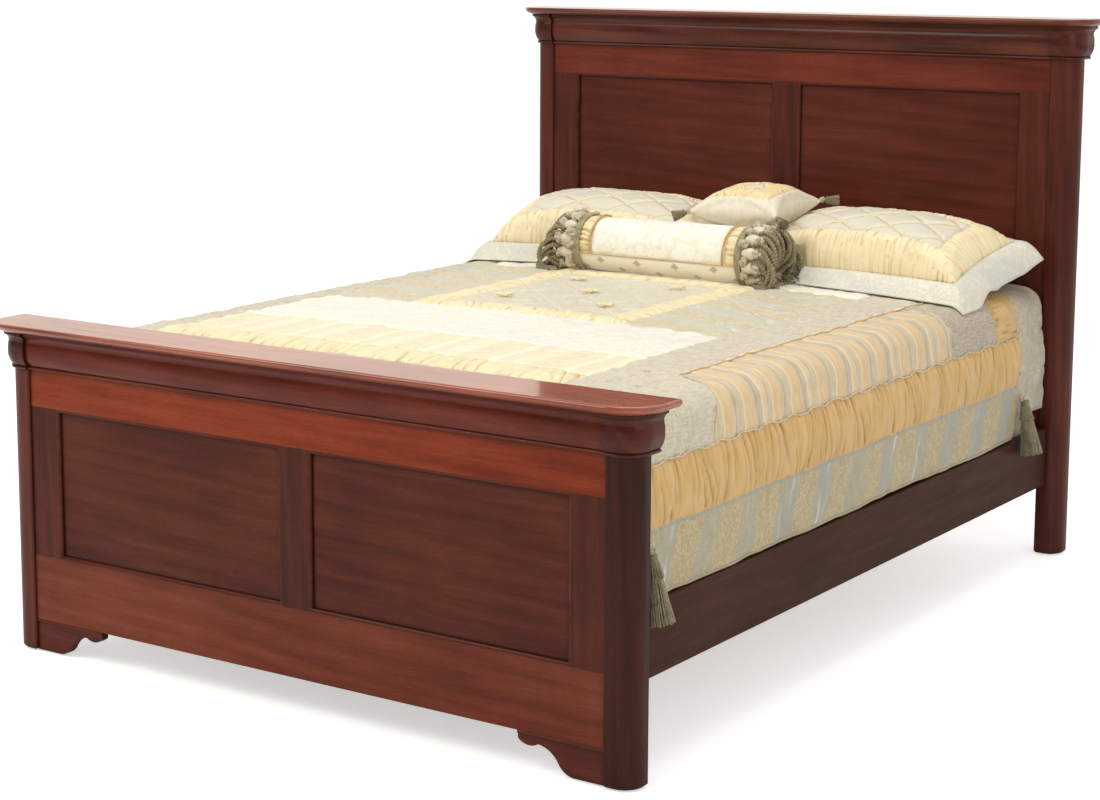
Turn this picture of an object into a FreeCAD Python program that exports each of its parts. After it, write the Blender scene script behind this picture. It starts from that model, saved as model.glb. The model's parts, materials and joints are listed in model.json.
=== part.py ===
"""Panel bed, dressed: frame-and-panel ends with crown mouldings, side rails, slats and bedding.

Millimetres. +X is the right-hand side seen from the foot, +Y runs from the foot to the head, +Z is up.
The origin is on the floor, under the centre of the whole bed.
"""

import FreeCAD
import Part
import math
import os
from FreeCAD import Vector

# ---------------------------------------------------------------- sleeping surface
mattress_width = 1524.0
mattress_length = 2032.0
mattress_height = 254.0
foundation_height = 200.0
mattress_side_gap = 8.0          # to the inner face of each side rail
mattress_head_gap = 20.0         # to the headboard frame
mattress_edge_radius = 28.0
mattress_corner_radius = 60.0
foundation_edge_radius = mattress_edge_radius / 3

# ---------------------------------------------------------------- bed ends
post_width = 68.0                # across the bed
post_depth = 59.0                # along the bed
post_round = 45.0                # outer front corner
post_ease = 5.0                  # inner front corner
post_foot_chamfer = 4.5
post_chamfer_share = 0.9         # most that the chamfer may take of the eased corner
glide_height = 3.0               # nailed-on glide under each post
glide_radius = 14.0
frame_setback = 7.0              # frame face behind the post face
frame_thickness = 28.0
stile_width = 78.0
mid_stile_width = 73.4
bottom_rail_height = 151.5
panel_thickness = 10.0
panel_setback = 9.0              # panel face behind the frame face
panel_tongue = 9.0               # panel edge inside its groove
groove_clearance = 1.0           # at the bottom of the groove, for movement of the wood
bead_width = 8.0
bead_round = 6.5
tenon_length = 38.0
tenon_thickness = 9.0
tenon_shoulder = 14.0
tenon_inset_share = 0.25         # most that a shoulder takes of a narrow stile

foot_rail_low = 76.5             # lower edge of the footboard's bottom rail
foot_opening_height = 346.5
head_rail_low = 320.0
head_opening_height = 755.0
top_rail_show = 84.5             # top rail below the crown moulding

# ---------------------------------------------------------------- crown moulding and cap
crown_height = 86.0
crown_bead_radius = 3.5
crown_bead_seat = 4.0
crown_quirk = 6.5                # out from the face, above the bead
crown_quirk_rise = 10.0
crown_belly = 15.0
crown_belly_rise = 42.0
crown_belly_out = 2.2            # how far the belly's arc bulges past its chord
crown_belly_down = 3.0
crown_neck = 12.5
crown_neck_rise = 62.0
crown_neck_out = 0.7
crown_cove = 22.0
crown_cove_rise = 78.5
crown_cove_hollow = 2.2          # how far the cove's arc dips behind its chord
crown_fillet = 23.0
crown_back_thickness = 25.0      # board behind the posts that carries the back of the cap
cap_thickness = 19.0
cap_overhang = 44.0              # beyond the post, in front and at the sides
cap_back_overhang = 15.0         # beyond the crown's back board
cap_nose_start = 24.0            # where the rounded underside begins
cap_nose_rise = 13.0
cap_nose_lap = 1.0               # how far the moulded edge reaches into the flat board
cap_nose_out_share = 0.68        # where the rounded underside's arc passes
cap_nose_up_share = 0.36
cap_top_round = 6.0
cap_back_ease = 2.0

# ---------------------------------------------------------------- bracket feet of the footboard
bracket_length = 203.0
bracket_thickness = 19.0
bracket_setback = 2.0
bracket_bead = 3.5
bracket_toe = 66.0               # flat part that stands on the floor
bracket_arch = 55.5              # highest point of the cut-out
bracket_scroll_shares = (               # ogee past the toe: shares of its length and of its rise
    (0.17, 0.10), (0.29, 0.39), (0.43, 0.80), (0.65, 1.0), (0.85, 0.89))
bracket_tip_rise = 5.0

# ---------------------------------------------------------------- rails and slats
rail_height = 153.0
rail_thickness = 25.0
rail_low = 190.0
rail_ease = 3.0
ledge_width = 30.0
ledge_height = 35.0
ledge_end_gap = 45.0
slat_top = 254.0
slat_thickness = 19.0
slat_width = 89.0
slat_count = 4
slat_end_clearance = 1.0
slat_first = 300.0               # centre of the first slat from the foot post
leg_size = 44.0
leg_ease = 3.0
leg_low = 22.0
leg_bore_clearance = 3.0         # above the glide's stem when it is screwed right in

# ---------------------------------------------------------------- levelling glides of the centre legs
glide_stem_radius = 4.0
glide_stem_clearance = 0.05
glide_stem_height = 44.0
glide_disc_radius = 17.0
glide_disc_height = 6.0
glide_disc_ease = 1.5
glide_boss_radius = 6.8          # where the disc meets the stem
glide_travel = 12.0
leg_bore_radius = 5.0
insert_radius = 6.5
insert_height = 12.0
insert_flange_radius = 10.0
insert_flange_height = 1.5

# ---------------------------------------------------------------- rail hardware
plate_thickness = 3.0
plate_width = 16.0
hook_pitch = 74.0
hook_rise = 14.0                 # tongue above the hook's centre
hook_seat = 4.0                  # tongue below it, resting in the slot
hook_lip = 14.0
hook_reach = 12.0
hook_thickness = 3.0
hook_side_clearance = 0.5
hook_drop = 10.0                 # how far the rail is lifted to unhook it
pocket_depth = 14.0
hook_play = 0.2
screw_head_radius = 3.6
screw_shank_radius = 1.8
screw_head_depth = 2.2
plate_screw_length = 25.0
wood_screw_length = 42.0
slat_screw_length = 32.0
screw_tip_radius = 0.9
plate_screw_gap = 1.4            # between a slot's top and the head of the screw above it
plate_screw_edge = 5.0           # from a screw's centre to the plate's end
ledge_screw_count = 5
leg_screw_offset = 12.0
leg_screw_length = 50.0

# ---------------------------------------------------------------- bedding
soft_clearance = 0.4
cushion_ring_shares = (                # half sections of a cushion: share of its height, share of its size
    (-0.5, 0.16), (-0.45, 0.46), (-0.3, 0.78), (0.0, 1.0), (0.3, 0.78), (0.45, 0.46), (0.5, 0.16))
quilt_thickness = 11.0
quilt_foot_gap = 1.6             # to the board behind the footboard's posts
quilt_hem_on_rail = 15.0         # outer face of the hem from the rail's inner face
quilt_belly = 5.0                # how far the drop swells beyond its hem
quilt_rest = 2.0                 # hem above the top of the side rail
quilt_waist_share = 0.45         # where the drop swells most, from the hem up
quilt_foot_tuck = 190.0
quilt_corner_length = 187.0      # shorter drop beside the head end
quilt_corner_low = 402.0
sham_length = 640.0
sham_depth = 330.0
sham_height = 168.0
sham_flange = 50.0
sham_flange_thickness = 6.0
sham_draw = 18.0                 # sides drawn in between the corners
sham_flange_draw = 25.2
sham_centre = 408.0
sham_tilt = 14.0
sham_turn = 5.0
sham_head_gap = 3.0
bolster_radius = 78.0
bolster_end_radius = 44.0        # flat middle of each gathered end
bolster_end_dome = 26.0
bolster_crown = 5.0              # fatter in the middle than at its seams
bolster_length = 560.0
bolster_centre = -100.0
bolster_from_head = 452.0        # axis in front of the headboard frame
fringe_radius = 98.0             # where the rope loops flare most
fringe_length = 128.0
fringe_overlap = 30.0            # band that is sewn on the bolster's rim
fringe_wall = 18.0
fringe_hollow = 1.0              # how far its inside bows outwards
accent_width = 272.0
accent_depth = 262.0
accent_height = 96.0
accent_draw = 14.0
accent_centre = 66.0
accent_from_head = 284.0
accent_tilt = 5.0
tassel_head = 10.0
tassel_neck = 6.0
tassel_collar = 19.0             # radius of the short upper skirt
tassel_radius = 26.0             # radius of the long lower skirt
tassel_length = 158.0
tassel_collar_end = 0.42         # shares of its length
tassel_skirt_start = 0.43
tassel_skirt_top = 0.86          # share of the collar's radius
tassel_above_rail = 0.78         # share of its length above the top of the side rail
tassel_lean = 10.0               # the head lies on the quilt and the skirt on the rail
foot_tassel_in = 18.0            # from the foot end of the mattress
head_tassel_out = 16.0           # beyond the corner of the shorter drop
small_tassel_scale = 0.3
small_tassel_rise = 20.0         # the front pair lies on the bolster
seat_gap = 0.4                   # between a soft piece and what it lies on
seat_steps = 15
seat_error = 0.02
pick_room = 1.0                  # for picking a block's upright or flat edges
cut_past = 1.0                   # how far a cutting block reaches past what it cuts
same_place = 1e-6                # places closer than this are one

# ---------------------------------------------------------------- places worked out from the sizes above
inner_half = mattress_width / 2 + mattress_side_gap
quilted_foot = quilt_foot_gap + quilt_thickness + soft_clearance
rail_length = crown_back_thickness + quilted_foot + mattress_length + mattress_head_gap - frame_setback
post_outer = inner_half + post_width
bed_length = cap_overhang + 2 * post_depth + rail_length + crown_back_thickness + cap_back_overhang
foot_front = -bed_length / 2 + cap_overhang
foot_back = foot_front + post_depth
head_front = foot_back + rail_length
head_face = head_front + frame_setback
rail_high = rail_low + rail_height
slot_high = hook_pitch / 2 + hook_rise + hook_drop
plate_screw_height = slot_high + plate_screw_gap + screw_head_radius
plate_height = 2 * (plate_screw_height + plate_screw_edge)
slat_low = slat_top - slat_thickness
mattress_low = slat_top + foundation_height
mattress_top = mattress_low + mattress_height
mattress_head = head_face - mattress_head_gap
mattress_foot = mattress_head - mattress_length
quilt_top = mattress_top + quilt_thickness
slat_last = rail_length - slat_first
round_centre = post_outer - post_round
quilt_hem = inner_half + quilt_hem_on_rail
UP = Vector(0, 0, 1)

os.makedirs("parts", exist_ok=True)
made = {}


def keep(name, shape):
    """Stores one node."""
    made[name] = shape
    return shape


def box(x0, x1, y0, y1, z0, z1):
    """A block between two corners."""
    return Part.makeBox(x1 - x0, y1 - y0, z1 - z0, Vector(x0, y0, z0))


def mirrored(shape):
    """The same piece on the other side of the bed."""
    return shape.mirror(Vector(0, 0, 0), Vector(1, 0, 0))


def outline(start, *steps, plane="xz"):
    """A closed face from a start point and steps: (u, v) is a line, ((u, v), (u, v)) an arc."""
    place = {"xz": lambda u, v: Vector(u, 0, v), "xy": lambda u, v: Vector(u, v, 0),
             "yz": lambda u, v: Vector(0, u, v)}[plane]
    edges = []
    here = place(*start)
    for step in steps:
        if isinstance(step[0], tuple):
            end = place(*step[1])
            edges.append(Part.Arc(here, place(*step[0]), end).toShape())
        else:
            end = place(*step)
            edges.append(Part.LineSegment(here, end).toShape())
        here = end
    if here.distanceToPoint(place(*start)) > same_place:
        edges.append(Part.LineSegment(here, place(*start)).toShape())
    return Part.Face(Part.Wire(edges))


def moved(shape, x=0.0, y=0.0, z=0.0):
    """A copy of the shape, moved."""
    copy = shape.copy()
    copy.translate(Vector(x, y, z))
    return copy


def joined(shapes):
    """Shapes that meet, as one solid without seams."""
    first, rest = shapes[0], shapes[1:]
    return first.fuse(rest).removeSplitter()


def group(shapes):
    """Separate solids that share a node."""
    return Part.makeCompound(shapes)


def round_corner(radius):
    """The point at 45 degrees on a quarter circle, measured from its centre."""
    return radius * math.sqrt(0.5)


# ---------------------------------------------------------------- profiles
def crown_profile():
    """Crown moulding in section: bead, quirk, belly, neck, cove and fillet, against a face at 0."""
    seat, bead = crown_bead_seat, crown_bead_radius
    return outline(
        (0, 0), (seat, 0), ((seat + bead, bead), (seat, 2 * bead)), (crown_quirk, crown_quirk_rise),
        (((crown_quirk + crown_belly) / 2 + crown_belly_out,
          (crown_quirk_rise + crown_belly_rise) / 2 - crown_belly_down), (crown_belly, crown_belly_rise)),
        (((crown_belly + crown_neck) / 2 + crown_neck_out, (crown_belly_rise + crown_neck_rise) / 2),
         (crown_neck, crown_neck_rise)),
        (((crown_neck + crown_cove) / 2 - crown_cove_hollow,
          (crown_neck_rise + crown_cove_rise) / 2 + crown_cove_hollow), (crown_cove, crown_cove_rise)),
        (crown_fillet, crown_cove_rise), (crown_fillet, crown_height), (0, crown_height))


def cap_profile():
    """Edge of the cap: a thumb-shaped nose under a small round, joined to the flat board."""
    top, nose = cap_thickness, cap_overhang
    turn = cap_top_round - round_corner(cap_top_round)
    start = cap_nose_start - cap_nose_lap
    under = cap_nose_start + (nose - cap_nose_start) * cap_nose_out_share
    return outline(
        (start, 0), (cap_nose_start, 0), ((under, cap_nose_rise * cap_nose_up_share), (nose, cap_nose_rise)),
        ((nose - turn, top - turn), (nose - cap_top_round, top)), (start, top))


def run_straight(profile, y_face, x_start, x_end):
    """A profile along a face that looks towards the foot."""
    section = profile.copy()
    section.rotate(Vector(0, 0, 0), UP, -90)
    return moved(section, x_start, y_face).extrude(Vector(x_end - x_start, 0, 0))


def run_round_post(profile, y_front, x_start, y_end):
    """A profile from x_start along a post's front, round its corner and back along its outer face."""
    front = run_straight(profile, y_front, x_start, round_centre)
    section = profile.copy()
    section.rotate(Vector(0, 0, 0), UP, -90)
    turn_at = Vector(round_centre, y_front + post_round, 0)
    corner = moved(section, round_centre, y_front).revolve(turn_at, UP, 90)
    straight = Vector(0, y_end - y_front - post_round, 0)
    side = moved(profile, post_outer, y_front + post_round).extrude(straight)
    return joined([front, corner, side])


# ---------------------------------------------------------------- screws
def screw(length, point_at, direction):
    """A countersunk wood screw: its head's face at point_at, its tapered shank along direction."""
    head = Part.makeCone(screw_head_radius, screw_shank_radius, screw_head_depth)
    shank_low = Vector(0, 0, screw_head_depth)
    shank = Part.makeCone(screw_shank_radius, screw_tip_radius, length - screw_head_depth, shank_low)
    solid = head.fuse(shank)
    solid.Placement = FreeCAD.Placement(point_at, FreeCAD.Rotation(UP, direction))
    return solid


# ---------------------------------------------------------------- rail hardware
def hook_section():
    """Side view of one hook: a tongue through the slot and a lip that drops behind the post's plate."""
    behind = plate_thickness + hook_play
    return outline(
        (0, hook_rise), (0, -hook_seat), (behind, -hook_seat), (behind, -hook_lip), (hook_reach, -hook_lip),
        (hook_reach, hook_rise), plane="yz")


def rail_plate(x, y_end, into_post):
    """The plate let into the end of a side rail, with its hooks. into_post is +1 at the head, -1 at the foot."""
    z = rail_low + rail_height / 2
    inner = y_end - into_post * plate_thickness
    plate = box(x - plate_width / 2, x + plate_width / 2, min(inner, y_end), max(inner, y_end),
                z - plate_height / 2, z + plate_height / 2)
    solids = [plate]
    for height in (z - hook_pitch / 2, z + hook_pitch / 2):
        hook = moved(hook_section(), x - hook_thickness / 2, 0, height).extrude(Vector(hook_thickness, 0, 0))
        if into_post < 0:
            hook = hook.mirror(Vector(0, 0, 0), Vector(0, 1, 0))
        solids.append(moved(hook, 0, y_end))
    return joined(solids)


def post_plate(x, y_end, into_post):
    """The slotted plate let into the post, and the pocket that the hooks need behind it."""
    z = rail_low + rail_height / 2
    far = y_end + into_post * plate_thickness
    deep = y_end + into_post * pocket_depth
    plate = box(x - plate_width / 2, x + plate_width / 2, min(far, y_end), max(far, y_end),
                z - plate_height / 2, z + plate_height / 2)
    recess = plate.copy()
    half = hook_thickness / 2 + hook_side_clearance
    slots, pockets = [], []
    for height in (z - hook_pitch / 2, z + hook_pitch / 2):
        slots.append(box(x - half, x + half, min(far, y_end), max(far, y_end),
                         height - hook_seat, height + hook_rise + hook_drop))
        pockets.append(box(x - half, x + half, min(deep, far), max(deep, far),
                           height - hook_lip - hook_play, height + hook_rise + hook_drop))
    return plate.cut(group(slots)), recess.fuse(pockets)


# ---------------------------------------------------------------- bed ends
class BedEnd:
    """A headboard or a footboard: two posts, a frame with two panels, a crown moulding and a cap."""

    def __init__(self, name, y_front, rail_low_edge, opening_height, rail_plates_at):
        self.name = name
        self.y_front = y_front
        self.y_back = y_front + post_depth
        self.face = y_front + frame_setback
        self.frame_back = self.face + frame_thickness
        self.rail_low_edge = rail_low_edge
        self.opening_low = rail_low_edge + bottom_rail_height
        self.opening_high = self.opening_low + opening_height
        self.crown_low = self.opening_high + top_rail_show
        self.crown_high = self.crown_low + crown_height
        self.rail_plates_at = rail_plates_at

    def node(self, piece, shape):
        """Stores a piece of this end under its own name."""
        return keep(self.name + "_" + piece, shape)

    def openings(self):
        """Left and right panel openings, as (x from, x to)."""
        outer = inner_half - stile_width
        inner = mid_stile_width / 2
        return {"left": (-outer, -inner), "right": (inner, outer)}

    def panel_blank(self, sides, extra):
        """A panel's block, reaching into its grooves by extra."""
        y = self.face + panel_setback
        return box(sides[0] - extra, sides[1] + extra, y, y + panel_thickness,
                   self.opening_low - extra, self.opening_high + extra)

    def grooves(self):
        """The room that both panels need in the frame."""
        deep = panel_tongue + groove_clearance
        return group([self.panel_blank(sides, deep) for sides in self.openings().values()])

    def rail_tenon(self, low, high):
        """The tongue at the right-hand end of a rail."""
        middle = self.face + frame_thickness / 2
        return box(inner_half, inner_half + tenon_length, middle - tenon_thickness / 2, middle + tenon_thickness / 2,
                   low + tenon_shoulder, high - tenon_shoulder)

    def stile_tenons(self, x_low, x_high):
        """The tongues at the top and bottom of a stile."""
        middle = self.face + frame_thickness / 2
        inset = min(tenon_shoulder, (x_high - x_low) * tenon_inset_share)
        depth = panel_tongue + groove_clearance + tenon_shoulder
        y_low, y_high = middle - tenon_thickness / 2, middle + tenon_thickness / 2
        return [box(x_low + inset, x_high - inset, y_low, y_high, low, high)
                for low, high in ((self.opening_low - depth, self.opening_low),
                                  (self.opening_high, self.opening_high + depth))]

    def post(self):
        """The right-hand post: a quarter-round outer front corner, a chamfered foot and its mortises."""
        wide, deep = post_width, post_depth
        bevel = min(post_foot_chamfer, post_chamfer_share * post_ease)
        turn = post_round - round_corner(post_round)
        ease = post_ease - round_corner(post_ease)
        section = outline(
            (post_ease, 0), (wide - post_round, 0), ((wide - turn, turn), (wide, post_round)),
            (wide, deep), (0, deep), (0, post_ease), ((ease, ease), (post_ease, 0)), plane="xy")
        solid = section.extrude(Vector(0, 0, self.crown_high - glide_height))
        bottom = [edge for edge in solid.Edges if edge.BoundBox.ZMax < bevel]
        solid = moved(solid.makeChamfer(bevel, bottom), inner_half, self.y_front, glide_height)
        cuts = [self.rail_tenon(self.rail_low_edge, self.opening_low),
                self.rail_tenon(self.opening_high, self.crown_high)]
        plate, room = post_plate(inner_half + rail_thickness / 2, *self.rail_plates_at)
        return solid.cut(group(cuts + [room])), plate

    def rails(self):
        """Top and bottom rails with their tenons, grooves and stile mortises."""
        mortises = []
        outer, inner = inner_half - stile_width, mid_stile_width / 2
        for low, high in ((-inner_half, -outer), (-inner, inner), (outer, inner_half)):
            mortises += self.stile_tenons(low, high)
        cuts = group([self.grooves()] + mortises)
        for piece, low, high in (("bottom_rail", self.rail_low_edge, self.opening_low),
                                 ("top_rail", self.opening_high, self.crown_high)):
            tenon = self.rail_tenon(low, high)
            board = box(-inner_half, inner_half, self.face, self.frame_back, low, high)
            self.node(piece, joined([board, tenon, mirrored(tenon)]).cut(cuts))

    def stiles(self):
        """The outer stiles beside the posts and the middle stile between the panels."""
        outer, inner = inner_half - stile_width, mid_stile_width / 2
        for piece, low, high in (("stile_left", -inner_half, -outer), ("mid_stile", -inner, inner),
                                 ("stile_right", outer, inner_half)):
            board = box(low, high, self.face, self.frame_back, self.opening_low, self.opening_high)
            self.node(piece, joined([board] + self.stile_tenons(low, high)).cut(self.grooves()))

    def panels(self):
        """The two flat panels and the eight mitred strips of bead round them."""
        strips = []
        for side, (low, high) in self.openings().items():
            self.node("panel_" + side, self.panel_blank((low, high), panel_tongue))
            strips += self.bead_strips(low, high)
        self.node("panel_beads", group(strips))

    def bead_strips(self, low, high):
        """Four mitred strips with a rounded inner edge, in the corner between a panel and its frame."""
        deep = panel_setback
        turn = bead_round - round_corner(bead_round)
        # in section: u runs from the frame into the panel, v from the panel's face to the front
        section = outline((0, 0), (bead_width, 0), (bead_width, deep - bead_round),
                          ((bead_width - turn, deep - turn), (bead_width - bead_round, deep)), (0, deep), plane="xy")
        section.rotate(Vector(0, 0, 0), Vector(1, 0, 0), 180)   # v now runs towards the foot
        wide, tall = high - low, self.opening_high - self.opening_low
        strips = []
        for length, turns in ((tall, 0), (wide, 90), (tall, 180), (wide, 270)):
            across = wide if length == tall else tall
            bar = moved(section, -across / 2, 0, -length / 2).extrude(Vector(0, 0, length))
            mitre = outline((-across / 2, -length / 2), (-across / 2 + bead_width, -length / 2 + bead_width),
                            (-across / 2 + bead_width, length / 2 - bead_width), (-across / 2, length / 2))
            bar = bar.common(moved(mitre, 0, -deep).extrude(Vector(0, deep, 0)))
            bar.rotate(Vector(0, 0, 0), Vector(0, 1, 0), turns)
            strips.append(moved(bar, (low + high) / 2, self.face + panel_setback,
                                (self.opening_low + self.opening_high) / 2))
        return strips

    def crown(self):
        """Crown moulding on the frame, its returns round the posts and the board behind them."""
        profile = moved(crown_profile(), 0, 0, self.crown_low)
        y_end = self.y_back + crown_back_thickness
        self.node("crown_front", run_straight(profile, self.face, -inner_half, inner_half))
        turn = run_round_post(profile, self.y_front, inner_half, y_end)
        self.node("crown_return_right", turn)
        self.node("crown_return_left", mirrored(turn))
        self.node("crown_back", box(-post_outer, post_outer, self.y_back, y_end,
                                    self.crown_low, self.crown_high))

    def cap(self):
        """The cap: a board with rounded front corners and a moulded edge on three sides."""
        start = cap_nose_start - cap_nose_lap
        y_end = self.y_back + crown_back_thickness + cap_back_overhang
        x_side, y_f, radius = post_outer + start, self.y_front - start, post_round + start
        turn = radius - round_corner(radius)
        core = outline(
            (-round_centre, y_f), (round_centre, y_f), ((x_side - turn, y_f + turn), (x_side, y_f + radius)),
            (x_side, y_end), (-x_side, y_end), (-x_side, y_f + radius),
            ((-x_side + turn, y_f + turn), (-round_centre, y_f)), plane="xy")
        board = moved(core, 0, 0, self.crown_high).extrude(Vector(0, 0, cap_thickness))
        edge = run_round_post(moved(cap_profile(), 0, 0, self.crown_high), self.y_front, 0, y_end)
        cap = joined([board, edge, mirrored(edge)])
        top = self.crown_high + cap_thickness
        back = [e for e in cap.Edges
                if e.BoundBox.YMin > y_end - same_place and e.BoundBox.ZMin > top - same_place]
        self.node("cap", cap.makeFillet(cap_back_ease, back))

    def build(self):
        """Makes every piece of this end. Returns the left and right slotted plates."""
        post, plate = self.post()
        self.node("post_right", post)
        self.node("post_left", mirrored(post))
        self.rails()
        self.stiles()
        self.panels()
        self.crown()
        self.cap()
        return [plate, mirrored(plate)]

    def glides(self):
        """A nailed-on glide under each post."""
        x, y = inner_half + post_width / 2, self.y_front + post_depth / 2
        return [Part.makeCylinder(glide_radius, glide_height, Vector(side * x, y, 0)) for side in (-1, 1)]


def bracket_feet(foot):
    """The scrolled bracket feet between the footboard's bottom rail and the floor."""
    low, high, arch = glide_height, foot_rail_low, bracket_arch
    end, toe = bracket_length, bracket_toe
    rise = arch - low
    lobe = end - toe
    # distances run inwards from the post; the outline is an ogee with a small lobe at its inner end
    spots = [(toe + along * lobe, low + up * rise) for along, up in bracket_scroll_shares]
    scroll = outline(
        (0, low), (toe, low), (spots[0], spots[1]), (spots[2], spots[3]),
        (spots[4], (end, arch + bracket_tip_rise)), (end, high), (0, high))
    y_front = foot.face + bracket_setback
    plate = moved(scroll, 0, y_front).extrude(Vector(0, bracket_thickness, 0))
    bead = Part.makeCylinder(bracket_bead, end, Vector(0, y_front, high - bracket_bead), Vector(1, 0, 0))
    solid = joined([plate, bead])
    right = moved(mirrored(solid), inner_half)
    keep("footboard_bracket_right", right)
    keep("footboard_bracket_left", mirrored(right))


# ---------------------------------------------------------------- rails, slats and legs
def side_rails():
    """The side rails, the ledges on their inner faces, and every plate and screw on them."""
    x_in, x_out, ease = inner_half, inner_half + rail_thickness, rail_ease
    turn = ease - round_corner(ease)
    section = outline(
        (x_in, rail_low), (x_out - ease, rail_low),
        ((x_out - turn, rail_low + turn), (x_out, rail_low + ease)), (x_out, rail_high - ease),
        ((x_out - turn, rail_high - turn), (x_out - ease, rail_high)), (x_in, rail_high))
    rail = moved(section, 0, foot_back).extrude(Vector(0, rail_length, 0))
    ledge = box(x_in - ledge_width, x_in, foot_back + ledge_end_gap, head_front - ledge_end_gap,
                slat_low - ledge_height, slat_low)
    middle = x_in + rail_thickness / 2
    plates = [rail_plate(middle, head_front, 1), rail_plate(middle, foot_back, -1)]
    plate_screws, ledge_screws = [], []
    for y_end, into in ((head_front, 1), (foot_back, -1)):
        for height in (-plate_screw_height, plate_screw_height):
            at = Vector(middle, y_end, rail_low + rail_height / 2 + height)
            plate_screws.append(screw(plate_screw_length, at, Vector(0, -into, 0)))
    usable = rail_length - 2 * ledge_end_gap
    for i in range(ledge_screw_count):
        y = foot_back + ledge_end_gap + usable * (i + 0.5) / ledge_screw_count
        at = Vector(x_in - ledge_width, y, slat_low - ledge_height / 2)
        ledge_screws.append(screw(wood_screw_length, at, Vector(1, 0, 0)))
    cut_plates = [plate.cut(group(plate_screws)) for plate in plates]
    rail = rail.cut(group(plates + plate_screws + ledge_screws))
    ledge = ledge.cut(group(ledge_screws))
    for name, shape in (("side_rail", rail), ("slat_ledge", ledge)):
        keep(name + "_right", shape)
        keep(name + "_left", mirrored(shape))
    keep("rail_hook_plates", group(cut_plates + [mirrored(plate) for plate in cut_plates]))
    return plate_screws, ledge_screws


def post_plate_screws():
    """Screws that hold the slotted plates to the posts on the right-hand side."""
    screws = []
    for y_end, into in ((foot_back, -1), (head_front, 1)):
        for height in (-plate_screw_height, plate_screw_height):
            at = Vector(inner_half + rail_thickness / 2, y_end, rail_low + rail_height / 2 + height)
            screws.append(screw(plate_screw_length, at, Vector(0, into, 0)))
    return screws


def slat_places():
    """Where the centre line of each slat lies along the bed."""
    step = (slat_last - slat_first) / (slat_count - 1)
    return [foot_back + slat_first + i * step for i in range(slat_count)]


def legged_places():
    """The slats that stand on a centre leg: all but the first and the last."""
    return slat_places()[1:-1]


def slats_and_legs():
    """Slats across the ledges, centre legs under the inner slats, and the legs' threaded inserts."""
    half = inner_half - slat_end_clearance
    slat_screws, legs, inserts = [], [], []
    for number, y in enumerate(slat_places(), start=1):
        slat = box(-half, half, y - slat_width / 2, y + slat_width / 2, slat_low, slat_top)
        screws = [screw(slat_screw_length, Vector(side * (inner_half - ledge_width / 2), y, slat_top), -UP)
                  for side in (-1, 1)]
        if y in legged_places():
            leg, insert = centre_leg(y)
            screws += [screw(leg_screw_length, Vector(side * leg_screw_offset, y, slat_top), -UP)
                       for side in (-1, 1)]
            legs.append(leg.cut(group(screws)))
            inserts.append(insert)
        keep("slat_%d" % number, slat.cut(group(screws)))
        slat_screws += screws
    keep("centre_legs", group(legs))
    keep("leg_inserts", group(inserts))
    ledge_cuts = group([s for s in slat_screws if abs(s.BoundBox.Center.x) > leg_size])
    for side in ("left", "right"):
        keep("slat_ledge_" + side, made["slat_ledge_" + side].cut(ledge_cuts))
    return slat_screws


def centre_leg(y):
    """One centre leg, bored for its levelling glide, and the threaded insert in its foot."""
    half = leg_size / 2
    leg = box(-half, half, y - half, y + half, leg_low, slat_low)
    upright = [e for e in leg.Edges if e.BoundBox.ZLength > slat_low - leg_low - pick_room]
    leg = leg.makeChamfer(leg_ease, upright)
    bore_top = glide_disc_height + glide_stem_height + glide_travel + leg_bore_clearance
    flange_top = leg_low + insert_flange_height
    barrel_top = flange_top + insert_height
    flange = Part.makeCylinder(insert_flange_radius, insert_flange_height, Vector(0, y, leg_low))
    barrel = Part.makeCylinder(insert_radius, insert_height, Vector(0, y, flange_top))
    body = joined([flange, barrel])
    bore = Part.makeCylinder(leg_bore_radius, bore_top - barrel_top, Vector(0, y, barrel_top))
    thread_radius = glide_stem_radius + glide_stem_clearance
    thread = Part.makeCylinder(thread_radius, barrel_top - leg_low, Vector(0, y, leg_low))
    return leg.cut(group([body, bore])), body.cut(thread)


def leg_glides():
    """The levelling glides: a foot disc on a threaded stem, one for each centre leg."""
    for number, y in enumerate(legged_places(), start=1):
        disc = outline(
            (0, 0), (glide_disc_radius - glide_disc_ease, 0), (glide_disc_radius, glide_disc_ease),
            (glide_disc_radius, glide_disc_height / 2), (glide_boss_radius, glide_disc_height),
            (0, glide_disc_height)).revolve(Vector(0, 0, 0), UP, 360)
        stem = Part.makeCylinder(glide_stem_radius, glide_stem_height, Vector(0, 0, glide_disc_height))
        keep("leg_glide_%d" % number, moved(joined([disc, stem]), 0, y))


# ---------------------------------------------------------------- bedding
def rounded_block(x, y_low, y_high, z_low, z_high, corner, edge):
    """A mattress-like block with rounded upright corners and softened edges."""
    block = box(-x, x, y_low, y_high, z_low, z_high)
    upright = [e for e in block.Edges if e.BoundBox.ZLength > z_high - z_low - pick_room]
    block = block.makeFillet(corner, upright)
    flat = [e for e in block.Edges if e.BoundBox.ZLength < pick_room]
    return block.makeFillet(edge, flat)


def mattress_set():
    """Foundation and mattress."""
    half = mattress_width / 2
    keep("foundation", rounded_block(half, mattress_foot, mattress_head, slat_top, mattress_low,
                                     mattress_corner_radius, foundation_edge_radius))
    keep("mattress", rounded_block(half, mattress_foot, mattress_head, mattress_low, mattress_top,
                                   mattress_corner_radius, mattress_edge_radius))


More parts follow.
